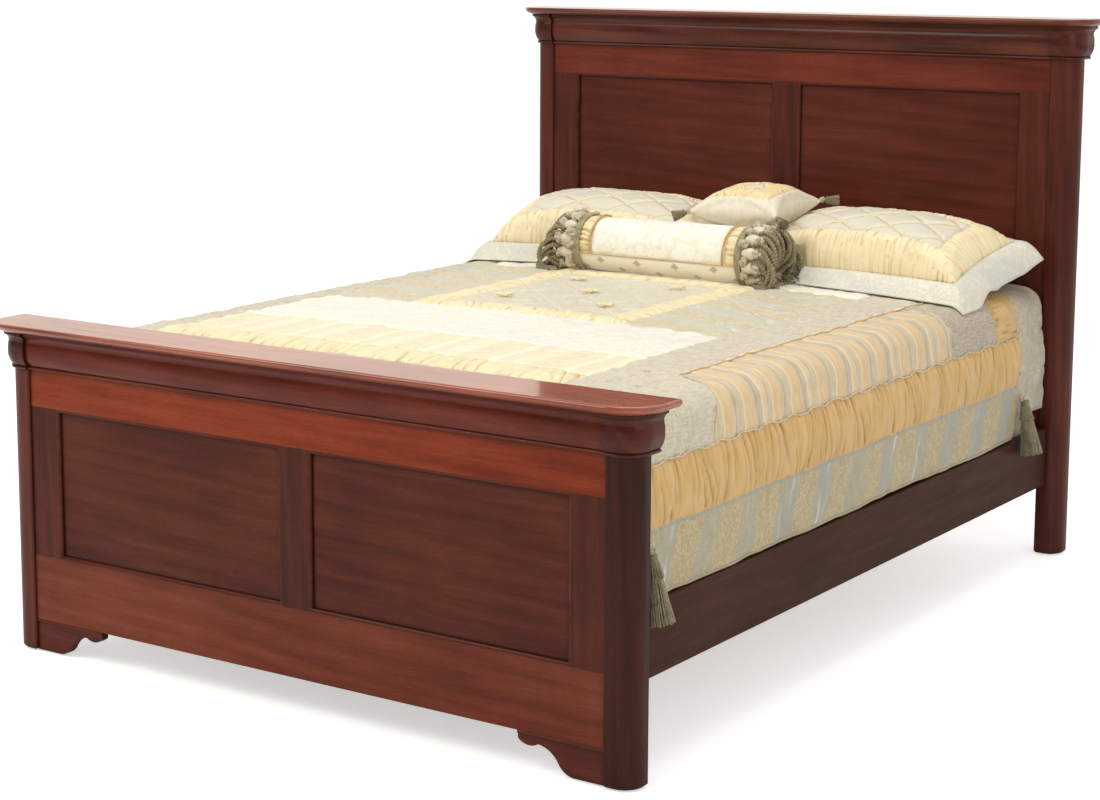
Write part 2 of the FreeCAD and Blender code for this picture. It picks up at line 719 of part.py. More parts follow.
def draped_section(x_hem, x_side, x_swell, z_top, radius):
    """A closed outline over the mattress: hems at the rails, swelling sides and rounded shoulders."""
    low = rail_high + quilt_rest
    turn = radius - round_corner(radius)
    shoulder = z_top - radius
    waist = low + (shoulder - low) * quilt_waist_share
    return outline(
        (x_hem, low), ((x_swell, waist), (x_side, shoulder)),
        ((x_side - turn, z_top - turn), (x_side - radius, z_top)),
        (radius - x_side, z_top), ((turn - x_side, z_top - turn), (-x_side, shoulder)),
        ((-x_swell, waist), (-x_hem, low)))


def foot_rounding(y_foot, z_top, radius):
    """The room behind a rounded edge at the foot of the bed."""
    turn = radius - round_corner(radius)
    side_view = outline(
        (y_foot, 0), (y_foot, z_top - radius), ((y_foot + turn, z_top - turn), (y_foot + radius, z_top)),
        (mattress_head, z_top), (mattress_head, 0), plane="yz")
    return moved(side_view, -2 * quilt_hem).extrude(Vector(4 * quilt_hem, 0, 0))


def draped_block(section, y_foot, z_top, radius):
    """What lies under a draped outline, from its rounded foot edge to the head of the mattress."""
    block = moved(section, 0, y_foot).extrude(Vector(0, mattress_head - y_foot, 0))
    return block.common(foot_rounding(y_foot, z_top, radius))


def quilt():
    """The quilt: over the mattress, down both sides to the rails and tucked in at the foot."""
    lap, clear, edge = quilt_thickness, soft_clearance, mattress_edge_radius
    side = mattress_width / 2 + clear
    swell = quilt_hem + quilt_belly
    y_foot = mattress_foot - clear - lap
    outer = draped_section(quilt_hem, side + lap, swell, quilt_top, edge + lap)
    inner = draped_section(quilt_hem - lap, side, swell - lap, mattress_top, edge)
    shell = draped_block(outer, y_foot, quilt_top, edge + lap).cut(
        draped_block(inner, y_foot + lap, mattress_top, edge))
    below_tuck = box(-side, side, y_foot - cut_past, mattress_foot, 0, mattress_top - quilt_foot_tuck)
    corner = box(-2 * swell, 2 * swell, mattress_head - quilt_corner_length, mattress_head + lap,
                 0, quilt_corner_low)
    keep("quilt", shell.cut(below_tuck).cut(corner))


def cushion(length, depth, height, draw):
    """A crowned cushion about the origin: drawn-in sides between its corners, thickest in the middle."""
    rings = []
    for share, scale in cushion_ring_shares:
        x, y, pull = length / 2 * scale, depth / 2 * scale, draw * scale
        z = height * share
        corners = [Vector(-x, -y, z), Vector(x, -y, z), Vector(x, y, z), Vector(-x, y, z)]
        middles = [Vector(0, -y + pull, z), Vector(x - pull, 0, z), Vector(0, y - pull, z),
                   Vector(-x + pull, 0, z)]
        edges = [Part.Arc(corners[i], middles[i], corners[(i + 1) % 4]).toShape() for i in range(4)]
        rings.append(Part.Wire(edges))
    return Part.makeLoft(rings, True)


def brought_to(shape, others, way, gap=seat_gap):
    """Moves a piece along a direction until it is a gap away from what it meets there."""
    placed = shape.copy()
    for _ in range(seat_steps):
        room = placed.distToShape(others)[0] - gap
        if room < seat_error:
            break
        placed.translate(way * room)
    return placed


def shams():
    """Two flanged pillow shams that lean back against the headboard."""
    body = cushion(sham_length, sham_depth, sham_height, sham_draw)
    x, y, pull = sham_length / 2 + sham_flange, sham_depth / 2 + sham_flange, sham_flange_draw
    flange = outline(
        (-x, -y), ((0, -y + pull), (x, -y)), ((x - pull, 0), (x, y)), ((0, y - pull), (-x, y)),
        ((-x + pull, 0), (-x, -y)), plane="xy")
    flange = moved(flange, 0, 0, -sham_flange_thickness / 2).extrude(Vector(0, 0, sham_flange_thickness))
    sham = body.fuse(flange)
    sham.rotate(Vector(0, 0, 0), Vector(1, 0, 0), sham_tilt)
    sham.rotate(Vector(0, 0, 0), UP, -sham_turn)
    rear_corner = max(vertex.Y for vertex in sham.Vertexes)
    sham = moved(sham, sham_centre, head_face - sham_head_gap - rear_corner)
    right = brought_to(moved(sham, 0, 0, quilt_top + sham_depth), made["quilt"], -UP)
    reach = bolster_length / 2 - bolster_end_dome + fringe_length + soft_clearance
    in_front = Part.makeCylinder(fringe_radius + soft_clearance, 2 * reach, Vector(
        bolster_centre - reach, made["bolster"].CenterOfMass.y, made["bolster"].CenterOfMass.z), Vector(1, 0, 0))
    keep("sham_right", right.cut(in_front))
    keep("sham_left", mirrored(right).cut(in_front))


def turned_about_x(section, x, y, z):
    """A solid of revolution about an axis along X, from a section with its axis upright."""
    solid = section.revolve(Vector(0, 0, 0), UP, 360)
    solid.rotate(Vector(0, 0, 0), Vector(0, 1, 0), 90)
    return moved(solid, x, y, z)


def bolster():
    """The bolster: a slightly crowned roll with gathered, domed ends."""
    half, radius = bolster_length / 2, bolster_radius
    rim = half - bolster_end_dome
    turn = round_corner(1.0)
    dome = radius - bolster_crown - bolster_end_radius
    section = outline(
        (0, -half), (bolster_end_radius, -half),
        ((bolster_end_radius + dome * turn, -rim - bolster_end_dome * turn), (radius - bolster_crown, -rim)),
        ((radius, 0), (radius - bolster_crown, rim)),
        ((bolster_end_radius + dome * turn, rim + bolster_end_dome * turn), (bolster_end_radius, half)), (0, half))
    roll = turned_about_x(section, bolster_centre, head_face - bolster_from_head, quilt_top + 2 * radius)
    keep("bolster", brought_to(roll, made["quilt"], -UP))


def bolster_fringes():
    """The fringe at each end of the bolster: knots on the rim and rope loops that flare out beyond it."""
    z = made["bolster"].CenterOfMass.z
    rim = bolster_length / 2 - bolster_end_dome
    sewn = bolster_radius + soft_clearance
    end = rim + fringe_length
    belly = rim + fringe_length / 2
    section = outline(
        (sewn, rim - fringe_overlap), (sewn + fringe_wall / 2, rim - fringe_overlap),
        ((fringe_radius, belly), (fringe_radius - fringe_wall / 2, end)),
        (fringe_radius - 1.5 * fringe_wall, end), ((sewn + fringe_hollow, belly), (sewn, rim)))
    rings = []
    for side in (1, -1):
        ring = turned_about_x(section, 0, 0, 0)
        if side < 0:
            ring = mirrored(ring)
        ring = moved(ring, bolster_centre, head_face - bolster_from_head, z)
        reach = ring.BoundBox
        above = box(reach.XMin - cut_past, reach.XMax + cut_past,
                    reach.YMin - cut_past, reach.YMax + cut_past, quilt_top + seat_gap, reach.ZMax)
        rings.append(ring.common(above))
    keep("bolster_fringes", group(rings))


def accent_pillow():
    """The small pillow that lies on the bolster and on the inner ends of the shams."""
    pillow = cushion(accent_width, accent_depth, accent_height, accent_draw)
    pillow.rotate(Vector(0, 0, 0), Vector(1, 0, 0), accent_tilt)
    pillow = moved(pillow, accent_centre, head_face - accent_from_head, quilt_top + 3 * accent_height)
    under = group([made[name] for name in ("bolster", "bolster_fringes", "sham_left", "sham_right")])
    keep("accent_pillow", brought_to(pillow, under, -UP))


def tassel(scale=1.0):
    """A tassel that hangs from the origin: a round head, a collar skirt and a longer skirt below it."""
    head, neck, collar, wide, length = (
        v * scale for v in (tassel_head, tassel_neck, tassel_collar, tassel_radius, tassel_length))
    section = outline(
        (0, 0), ((head, -head), (neck, -2 * head)), (collar, -length * tassel_collar_end),
        (collar * tassel_skirt_top, -length * tassel_skirt_start), (wide, -length), (0, -length))
    return section.revolve(Vector(0, 0, 0), UP, 360)


def quilt_tassels():
    """Tassels at the ends of both side drops. Their heads lie on the quilt, their skirts on the side rail."""
    one = tassel()
    one.rotate(Vector(0, 0, 0), Vector(0, 1, 0), -tassel_lean)
    z = rail_high + tassel_length * tassel_above_rail
    beside = group([made["quilt"], made["side_rail_right"]])
    right = [brought_to(moved(one, post_outer, y, z), beside, Vector(-1, 0, 0)) for y in
             (mattress_foot + foot_tassel_in, mattress_head - quilt_corner_length + head_tassel_out)]
    keep("quilt_tassels", group(right + [mirrored(each) for each in right]))


def accent_pillow_tassels():
    """A small tassel at each corner of the small pillow."""
    centre = made["accent_pillow"].CenterOfMass
    tilt = math.radians(accent_tilt)
    one = tassel(small_tassel_scale)
    tassels = []
    for side, end in ((-1, -1), (1, -1), (-1, 1), (1, 1)):
        out = Vector(side * accent_width, end * accent_depth, 0)
        out.normalize()
        laid = one.copy()
        rise = small_tassel_rise if end < 0 else 0
        laid.rotate(Vector(0, 0, 0), Vector(-out.y, out.x, 0), -90 - rise)
        tassels.append(moved(laid, centre.x + side * accent_width / 2 + out.x * seat_gap,
                             centre.y + end * accent_depth / 2 * math.cos(tilt) + out.y * seat_gap,
                             centre.z + end * accent_depth / 2 * math.sin(tilt)))
    keep("accent_pillow_tassels", group(tassels))


# ---------------------------------------------------------------- the whole bed
def build():
    """Makes every node, in the order in which the real bed goes together."""
    foot = BedEnd("footboard", foot_front, foot_rail_low, foot_opening_height, (foot_back, -1))
    head = BedEnd("headboard", head_front, head_rail_low, head_opening_height, (head_front, 1))
    slotted = foot.build() + head.build()
    bracket_feet(foot)
    keep("post_glides", group(foot.glides() + head.glides()))

    rail_screws, ledge_screws = side_rails()
    slotted_screws = post_plate_screws()
    all_slotted_screws = slotted_screws + [mirrored(s) for s in slotted_screws]
    keep("post_hook_plates", group([plate.cut(group(all_slotted_screws)) for plate in slotted]))
    for name in ("footboard_post_left", "footboard_post_right", "headboard_post_left", "headboard_post_right"):
        keep(name, made[name].cut(group(all_slotted_screws)))
    plate_screws = rail_screws + slotted_screws
    keep("hook_plate_screws", group(plate_screws + [mirrored(s) for s in plate_screws]))

    slat_screws = slats_and_legs()
    keep("wood_screws", group(ledge_screws + [mirrored(s) for s in ledge_screws] + slat_screws))
    leg_glides()

    mattress_set()
    quilt()
    bolster()
    bolster_fringes()
    shams()
    accent_pillow()
    accent_pillow_tassels()
    quilt_tassels()


build()
for node, shape in made.items():
    shape.exportStep("parts/%s.step" % node)
print(len(made), "nodes,", sum(len(shape.Solids) for shape in made.values()), "solids")
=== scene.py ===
"""Finishes and bedding of a panel bed.

The wooden bed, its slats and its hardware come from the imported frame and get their
finishes here. The mattress, foundation, pieced quilt, shams, bolster, small pillow,
fringes and tassels are modelled here in their place. Metres: X to the right seen from
the foot of the bed, Y from foot to head, Z up.
"""
from __future__ import annotations

import json
import logging
import math
from dataclasses import dataclass, field
from enum import Enum
from fnmatch import fnmatchcase

import bpy
import numpy as np
from mathutils import Matrix, Vector

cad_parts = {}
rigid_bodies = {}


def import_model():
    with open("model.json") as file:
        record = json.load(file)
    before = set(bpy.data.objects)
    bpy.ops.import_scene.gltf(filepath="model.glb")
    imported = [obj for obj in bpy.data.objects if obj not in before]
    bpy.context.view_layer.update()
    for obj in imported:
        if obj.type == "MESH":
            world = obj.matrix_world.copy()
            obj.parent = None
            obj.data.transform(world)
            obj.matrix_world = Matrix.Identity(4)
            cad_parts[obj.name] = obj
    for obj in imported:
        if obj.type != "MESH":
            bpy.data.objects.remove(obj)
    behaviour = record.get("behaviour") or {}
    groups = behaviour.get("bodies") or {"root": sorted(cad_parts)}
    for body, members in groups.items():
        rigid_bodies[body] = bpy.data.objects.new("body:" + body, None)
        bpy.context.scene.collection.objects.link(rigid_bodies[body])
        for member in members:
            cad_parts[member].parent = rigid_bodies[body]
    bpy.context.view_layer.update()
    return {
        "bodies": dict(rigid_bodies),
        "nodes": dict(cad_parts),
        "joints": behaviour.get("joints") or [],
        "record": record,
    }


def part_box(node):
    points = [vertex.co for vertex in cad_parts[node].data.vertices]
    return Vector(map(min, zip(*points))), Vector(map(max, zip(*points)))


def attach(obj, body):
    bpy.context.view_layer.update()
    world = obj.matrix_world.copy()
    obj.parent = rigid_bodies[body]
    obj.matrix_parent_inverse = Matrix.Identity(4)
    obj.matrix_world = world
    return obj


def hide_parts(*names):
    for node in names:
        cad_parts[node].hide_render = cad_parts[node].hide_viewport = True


LOG = logging.getLogger("panel_bed")
BED = "bed"
DIAMOND_SLOPE = 1.6     # of the cushions' sewn diamonds, length for each depth
CROWN = 0.013           # how far the mattress crowns in its middle
CROWN_HALF = 0.76       # half the width that it crowns over
CROWN_MIDDLE = 0.02     # where along the bed its middle is
CROWN_REACH = 1.02      # half the length that it crowns over
PAINTED_SHADE_COLOUR = "1d0d09"         # painted shade in the corners of the wood
LAST_FRAME = 18         # of the cushions' cloth simulation
Socket = bpy.types.NodeSocket
Floats = np.ndarray


# ---------------------------------------------------------------- colours and shader nodes
def colour(code: str) -> tuple[float, float, float, float]:
    """Turns a hex code into a linear colour.

    Args:
        code: six hex digits.

    Returns:
        Red, green, blue and alpha.
    """
    parts = [int(code[i:i + 2], 16) / 255 for i in (0, 2, 4)]
    linear = [p / 12.92 if p <= 0.04045 else ((p + 0.055) / 1.055) ** 2.4 for p in parts]
    return linear[0], linear[1], linear[2], 1.0


class NodeBench:
    """Adds shader nodes to one new material and joins them."""

    def __init__(self, name: str) -> None:
        """Starts a material.

        Args:
            name: the material's name.
        """
        self.material = bpy.data.materials.new(name)
        self.material.use_nodes = True
        self.tree = self.material.node_tree
        self.shader = self.tree.nodes["Principled BSDF"]

    def node(self, kind: str, inputs: dict[int | str, object] | None = None, out: int | str = 0,
             **settings: object) -> Socket:
        """Adds a node.

        Args:
            kind: the node's type.
            inputs: values or sockets for its inputs, by name or number.
            out: number or name of the output to hand back.
            **settings: properties of the node.

        Returns:
            The chosen output.
        """
        made = self.tree.nodes.new(kind)
        for key, value in settings.items():
            setattr(made, key, value)
        for key, value in (inputs or {}).items():
            self.put(made.inputs[key], value)
        return made.outputs[out]

    def put(self, socket: Socket, value: object) -> None:
        """Links a socket to another one, or sets its value.

        Args:
            socket: the input.
            value: a socket or a plain value.
        """
        if isinstance(value, bpy.types.NodeSocket):
            self.tree.links.new(value, socket)
        else:
            socket.default_value = value

    def surface(self, **inputs: object) -> None:
        """Sets inputs of the surface shader.

        Args:
            **inputs: values or sockets, with spaces in names written as underscores.
        """
        for key, value in inputs.items():
            self.put(self.shader.inputs[key.replace("_", " ")], value)

    def place(self) -> Socket:
        """The point on the object, in metres."""
        return self.node("ShaderNodeTexCoord", out=3)

    def own(self, name: str, out: int = 2) -> Socket:
        """Reads a value stored on the mesh.

        Args:
            name: the attribute.
            out: 2 for a single value, 1 for a vector.

        Returns:
            The value's socket.
        """
        return self.node("ShaderNodeAttribute", out=out, attribute_name=name)

    def scaled(self, vector: Socket, scale: tuple[float, float, float], shift: object = (0.0, 0.0, 0.0),
               turn: float = 0.0) -> Socket:
        """Scales, moves and turns coordinates.

        Args:
            vector: the coordinates.
            scale: factor along each axis.
            shift: distance moved, or a socket.
            turn: angle about Z.

        Returns:
            The new coordinates.
        """
        return self.node("ShaderNodeMapping", {"Vector": vector, "Scale": scale, "Location": shift,
                                               "Rotation": (0.0, 0.0, turn)})

    def noise(self, vector: Socket, scale: float = 1.0, detail: float = 3.0, rough: float = 0.55,
              swirl: float = 0.0) -> Socket:
        """Soft noise from 0 to 1.

        Args:
            vector: coordinates.
            scale: cells for each unit.
            detail: octaves.
            rough: weight of the fine octaves.
            swirl: distortion.

        Returns:
            The noise.
        """
        return self.node("ShaderNodeTexNoise", {"Vector": vector, "Scale": scale, "Detail": detail,
                                                "Roughness": rough, "Distortion": swirl})

    def math(self, step: str, a: object, b: object = 0.0, clamp: bool = False) -> Socket:
        """Adds a sum.

        Args:
            step: operation.
            a: first value or socket.
            b: second value or socket.
            clamp: keeps the result from 0 to 1.

        Returns:
            The result.
        """
        return self.node("ShaderNodeMath", {0: a, 1: b}, operation=step, use_clamp=clamp)

    def between(self, value: Socket, low: float, high: float, to_low: float = 0.0,
                to_high: float = 1.0) -> Socket:
        """Maps a range smoothly onto another one.

        Args:
            value: the input.
            low: where the range starts.
            high: where it ends.
            to_low: result at and below the start.
            to_high: result at and above the end.

        Returns:
            The mapped value.
        """
        return self.node("ShaderNodeMapRange", {"Value": value, "From Min": low, "From Max": high,
                                                "To Min": to_low, "To Max": to_high},
                         interpolation_type="SMOOTHSTEP")

    def mix(self, share: object, a: object, b: object, way: str = "MIX") -> Socket:
        """Mixes two colours.

        Args:
            share: weight of the second colour.
            a: first colour or socket.
            b: second colour or socket.
            way: blend mode.

        Returns:
            The mixed colour.
        """
        return self.node("ShaderNodeMix", {0: share, 6: a, 7: b}, out=2, data_type="RGBA", blend_type=way)

    def ramp(self, value: Socket, stops: list[tuple[float, str]], hard: bool = False) -> Socket:
        """Turns a value into a colour.

        Args:
            value: from 0 to 1.
            stops: places and hex colours.
            hard: keeps each colour up to the next stop.

        Returns:
            The colour.
        """
        made = self.tree.nodes.new("ShaderNodeValToRGB")
        band = made.color_ramp
        band.interpolation = "CONSTANT" if hard else "LINEAR"
        while len(band.elements) < len(stops):
            band.elements.new(0.5)
        for element, (spot, code) in zip(band.elements, stops):
            element.position = spot
            element.color = colour(code)
        self.tree.links.new(value, made.inputs[0])
        return made.outputs[0]

    def bump(self, height: Socket, deep: float, strength: float = 1.0, under: Socket | None = None) -> Socket:
        """Fine relief.

        Args:
            height: from 0 to 1.
            deep: its depth in metres.
            strength: share of it that shows.
            under: a normal that it adds to.

        Returns:
            The new normal.
        """
        inputs: dict[int | str, object] = {"Height": height, "Distance": deep, "Strength": strength}
        if under is not None:
            inputs["Normal"] = under
        return self.node("ShaderNodeBump", inputs)

    def shaded_creases(self, shade: Socket, crease: str, share: float, low: float = 0.1,
                high: float = 0.8) -> Socket:
        """Paints shade into the creases that are stored on the mesh.

        Args:
            shade: the cloth's colour.
            crease: hex colour of the painted shade in its creases.
            share: weight of that colour in the deepest crease.
            low: stored value of the deepest crease.
            high: stored value where the cloth is flat.

        Returns:
            The colour.
        """
        return self.mix(self.between(self.own("fold"), low, high, share, 0.0), shade, colour(crease))

    def from_line(self, value: Socket, pitch: float, shift: float = 0.0) -> Socket:
        """Distance from the nearest of many lines.

        Args:
            value: a coordinate across the lines.
            pitch: distance between them.
            shift: moves them, in shares of the pitch.

        Returns:
            The distance, in shares of the pitch.
        """
        count = self.math("DIVIDE", value, pitch)
        if shift:
            count = self.math("ADD", count, shift)
        return self.math("ABSOLUTE", self.math("SUBTRACT", self.math("FRACT", count), 0.5))

    def part(self, vector: Socket, axis: int) -> Socket:
        """One coordinate.

        Args:
            vector: the coordinates.
            axis: 0, 1 or 2.

        Returns:
            That coordinate.
        """
        return self.node("ShaderNodeSeparateXYZ", {0: vector}, out=axis)


class WorldBench(NodeBench):
    """Adds shader nodes to the world."""

    def __init__(self, world: bpy.types.World) -> None:
        """Starts from the world's own background.

        Args:
            world: the world.
        """
        self.tree = world.node_tree
        self.shader = self.tree.nodes["Background"]


# ---------------------------------------------------------------- finishes
@dataclass(frozen=True)
class Finish:
    """A surface finish. Each becomes one material."""

    name: str

    def dress(self, bench: NodeBench) -> None:
        """Builds the shader; each kind of finish has its own."""
        raise NotImplementedError

    def material(self) -> bpy.types.Material:
        """The finish's material, made at its first use."""
        found = bpy.data.materials.get(self.name)
        if found is None:
            bench = NodeBench(self.name)
            self.dress(bench)
            found = bench.material
        return found


class Grain(Enum):
    """Which way the boards' grain runs."""

    ACROSS_BED = (0, "x")
    ALONG_BED = (1, "y")
    UPRIGHT = (2, "z")


@dataclass(frozen=True)
class WoodFinish(Finish):
    """Stained and lacquered wood with figure, streaks and pores, and painted shade in its corners."""

    grain: Grain
    dark: str
    middle: str
    light: str
    gloss: float = 0.3
    coat: float = 0.14
    # strength of the painted shade in the corners
    glaze: float = 0.6
    level: float = 0.1

    def dress(self, bench: NodeBench) -> None:
        """Builds the shader.

        Args:
            bench: the material's nodes.
        """
        axis = self.grain.value[0]
        spot = bench.place()
        apart = bench.math("MULTIPLY", bench.node("ShaderNodeObjectInfo", out=5), 7.3)
        shift = bench.node("ShaderNodeCombineXYZ", {0: apart, 1: apart, 2: apart})

        def stretched(along: float, across: float) -> Socket:
            """Coordinates that are drawn out along the grain.

            Args:
                along: cells for each metre along the grain.
                across: cells for each metre across it.

            Returns:
                The coordinates.
            """
            scale = [across] * 3
            scale[axis] = along
            return bench.scaled(spot, (scale[0], scale[1], scale[2]), shift)

        figure = bench.noise(stretched(2.2, 26.0), detail=5.0, rough=0.55, swirl=1.2)
        rings = bench.node(
            "ShaderNodeTexWave", {"Vector": stretched(0.55, 7.0), "Scale": 1.7, "Distortion": 7.0,
                                  "Detail": 3.0, "Detail Scale": 1.4, "Detail Roughness": 0.6},
            out=1, wave_type="BANDS", bands_direction="DIAGONAL")
        streaks = bench.noise(stretched(7.0, 260.0), detail=4.0, rough=0.65)
        pores = bench.noise(stretched(55.0, 1100.0), detail=2.0)
        fleck = bench.noise(stretched(60.0, 520.0), detail=2.0, rough=0.6)
        clouds = bench.noise(bench.scaled(spot, (1.0, 1.0, 1.0), shift), scale=2.6, detail=4.0)
        tone = bench.math("ADD", bench.math("MULTIPLY", figure, 0.3), bench.math("MULTIPLY", rings, 0.08))
        tone = bench.math("ADD", tone, bench.math("MULTIPLY", clouds, 0.5))
        shade = bench.ramp(tone, [(0.28, self.dark), (0.44, self.middle), (0.62, self.light)])
        fine = bench.math("MULTIPLY", bench.between(streaks, 0.35, 0.68, 0.91, 1.06),
                          bench.between(fleck, 0.35, 0.65, 0.91, 1.07))
        grey = bench.node("ShaderNodeCombineColor", {0: fine, 1: fine, 2: fine})
        shade = bench.mix(1.0, shade, grey, "MULTIPLY")
        pitted = bench.between(pores, 0.58, 0.72, 0.0, 0.4)
        shade = bench.mix(pitted, shade, colour(self.dark))
        # painted shade: ambient occlusion darkens corners and recesses towards a dark brown
        occluded = bench.node("ShaderNodeAmbientOcclusion", {"Distance": 0.022}, out=1, samples=6)
        corner_shading = bench.between(occluded, 0.45, 0.92, self.glaze, 0.0)
        shade = bench.mix(corner_shading, shade, colour(PAINTED_SHADE_COLOUR))
        rounded = bench.node("ShaderNodeBevel", {"Radius": 0.0016}, samples=4)
        normal = bench.bump(streaks, 0.0004, 0.35, rounded)
        normal = bench.bump(pores, 0.0002, 0.3, normal)
        rough = bench.between(figure, 0.3, 0.75, self.gloss + 0.08, self.gloss)
        bench.surface(Base_Color=shade, Roughness=rough, Normal=normal, Coat_Weight=self.coat,
                      Coat_Roughness=0.08, Coat_IOR=1.45, Specular_IOR_Level=self.level)


@dataclass(frozen=True)
class MetalFinish(Finish):
    """Plated steel, a little scratched."""

    shade: str
    rough: float

    def dress(self, bench: NodeBench) -> None:
        """Builds the shader.

        Args:
            bench: the material's nodes.
        """
        spot = bench.place()
        scratches = bench.noise(bench.scaled(spot, (60.0, 900.0, 400.0)), detail=3.0)
        stains = bench.noise(spot, scale=90.0, detail=4.0)
        shade = bench.mix(bench.between(stains, 0.4, 0.75, 0.0, 0.45), colour(self.shade), colour("6d655b"))
        bench.surface(Base_Color=shade, Metallic=1.0, Normal=bench.bump(scratches, 0.0001, 0.5),
                      Roughness=bench.between(stains, 0.3, 0.7, self.rough, self.rough + 0.2))


@dataclass(frozen=True)
class PlasticFinish(Finish):
    """Moulded plastic with a fine grain."""

    shade: str

    def dress(self, bench: NodeBench) -> None:
        """Builds the shader.

        Args:
            bench: the material's nodes.
        """
        spot = bench.place()
        grain = bench.noise(spot, scale=1500.0, detail=2.0)
        dust = bench.noise(spot, scale=70.0, detail=3.0)
        shade = bench.mix(bench.between(dust, 0.45, 0.8, 0.0, 0.35), colour(self.shade), colour("5b554d"))
        bench.surface(Base_Color=shade, Normal=bench.bump(grain, 0.0001, 0.6),
                      Roughness=bench.between(dust, 0.3, 0.8, 0.45, 0.7))


@dataclass(frozen=True)
class SatinFinish(Finish):
    """Satin with a painted highlight on its tucks and painted shade in the tucks' hollows and in its creases.
    """

    shade: str
    # colour of the painted shade in the creases and in the tucks' hollows
    crease: str
    rough: float = 0.36
    # colour of the painted highlight on the tucks' crests
    glow: str = "fff0c8"
    # share of the painted shade in the tucks' hollows, and of the tucks' relief
    tucked: float = 0.6

    def sheet_colour(self, bench: NodeBench) -> Socket:
        """The satin's colour, with its painted highlights and painted shade.

        Args:
            bench: the material's nodes.

        Returns:
            The colour.
        """
        tucks = self.tucks(bench)
        # painted highlight on the tucks' crests, painted shade in their hollows and in the creases
        lift = bench.mix(bench.between(tucks, 0.5, 0.8, 0.0, 0.45), colour(self.shade), colour(self.glow))
        base = bench.mix(bench.between(tucks, 0.28, 0.46, self.tucked, 0.0), lift, colour(self.crease))
        return bench.shaded_creases(base, self.crease, 0.8, 0.0, 0.9)

    def tucks(self, bench: NodeBench) -> Socket:
        """Small gathers that run across the cloth's band.

        Args:
            bench: the material's nodes.

        Returns:
            Their height, from 0 to 1.
        """
        band = bench.own("band", 1)
        return bench.noise(bench.scaled(band, (130.0, 11.0, 1.0)), detail=3.0, rough=0.55, swirl=0.5)

    def dress(self, bench: NodeBench) -> None:
        """Builds the shader.

        Args:
            bench: the material's nodes.
        """
        cloth = bench.own("cloth", 1)
        threads = bench.noise(bench.scaled(cloth, (1500.0, 300.0, 300.0)), detail=2.0)
        normal = bench.bump(threads, 0.0001, 0.4, bench.bump(self.tucks(bench), 0.004, 0.6 * self.tucked))
        bench.surface(Base_Color=self.sheet_colour(bench), Normal=normal, Roughness=self.rough,
                      Sheen_Weight=0.25, Sheen_Roughness=0.4, Specular_IOR_Level=0.55)


@dataclass(frozen=True)
class WeaveFinish(Finish):
    """A slubby plain weave with rows of quilting and scattered sprigs."""

    shade: str
    thread: str
    row: float = 0.009
    sprig: float = 0.0

    def dress(self, bench: NodeBench) -> None:
        """Builds the shader.

        Args:
            bench: the material's nodes.
        """
        cloth = bench.own("cloth", 1)
        warp = bench.noise(bench.scaled(cloth, (1.0 / self.row, 14.0, 1.0)), scale=2.2, detail=3.0)
        weft = bench.noise(bench.scaled(cloth, (14.0, 1.0 / self.row, 1.0)), scale=2.2, detail=3.0)
        slub = bench.math("MULTIPLY", bench.math("ADD", warp, weft), 0.5)
        fine = bench.noise(bench.scaled(cloth, (900.0, 900.0, 900.0)), detail=1.0)
        shade = bench.mix(bench.between(slub, 0.38, 0.62), colour(self.thread), colour(self.shade))
        if self.sprig:
            spots = bench.node("ShaderNodeTexVoronoi", {"Vector": cloth, "Scale": 13.0, "Randomness": 0.35})
            leaf = bench.noise(cloth, scale=150.0, detail=2.0)
            mark = bench.math("LESS_THAN", bench.math("ADD", spots, bench.math("MULTIPLY", leaf, 0.3)), 0.27)
            shade = bench.mix(bench.math("MULTIPLY", mark, self.sprig), shade, colour("9c9079"))
        # painted shade in the creases
        shade = bench.shaded_creases(shade, "7d7461", 0.55)
        normal = bench.bump(fine, 0.0002, 0.35, bench.bump(slub, 0.0016, 0.55))
        bench.surface(Base_Color=shade, Normal=normal, Roughness=0.78, Sheen_Weight=0.2,
                      Sheen_Roughness=0.5, Specular_IOR_Level=0.25)


@dataclass(frozen=True)
class StripeFinish(Finish):
    """Satin-striped cloth; its stripes repeat along one side of the flat cloth."""

    stripes: tuple[tuple[float, str], ...]
    repeat: float
    axis: int = 1
    wash: float = 0.0

    def dress(self, bench: NodeBench) -> None:
        """Builds the shader.

        Args:
            bench: the material's nodes.
        """
        cloth = bench.own("cloth", 1)
        drift = bench.noise(cloth, scale=5.0, detail=1.0)
        along = bench.math("ADD", bench.part(cloth, self.axis), bench.math("MULTIPLY", drift, 0.012))
        phase = bench.math("FRACT", bench.math("DIVIDE", along, self.repeat))
        shade = bench.ramp(phase, list(self.stripes), hard=True)
        silk = bench.noise(bench.scaled(cloth, (30.0, 110.0, 30.0)), detail=4.0)
        shade = bench.mix(bench.between(silk, 0.35, 0.75, 0.0, 0.4), shade, colour("efe3c2"))
        shade = bench.mix(self.wash, shade, colour("f6efd6"))
        # painted shade in the creases
        shade = bench.shaded_creases(shade, "84755a", 0.5)
        ribs = bench.noise(bench.scaled(cloth, (70.0, 700.0, 70.0)), detail=2.0)
        puckers = bench.noise(cloth, scale=55.0, detail=3.0)
        normal = bench.bump(ribs, 0.0002, 0.4, bench.bump(puckers, 0.002, 0.45))
        bench.surface(Base_Color=shade, Normal=normal, Roughness=0.5, Sheen_Weight=0.25,
                      Sheen_Roughness=0.4, Specular_IOR_Level=0.45)


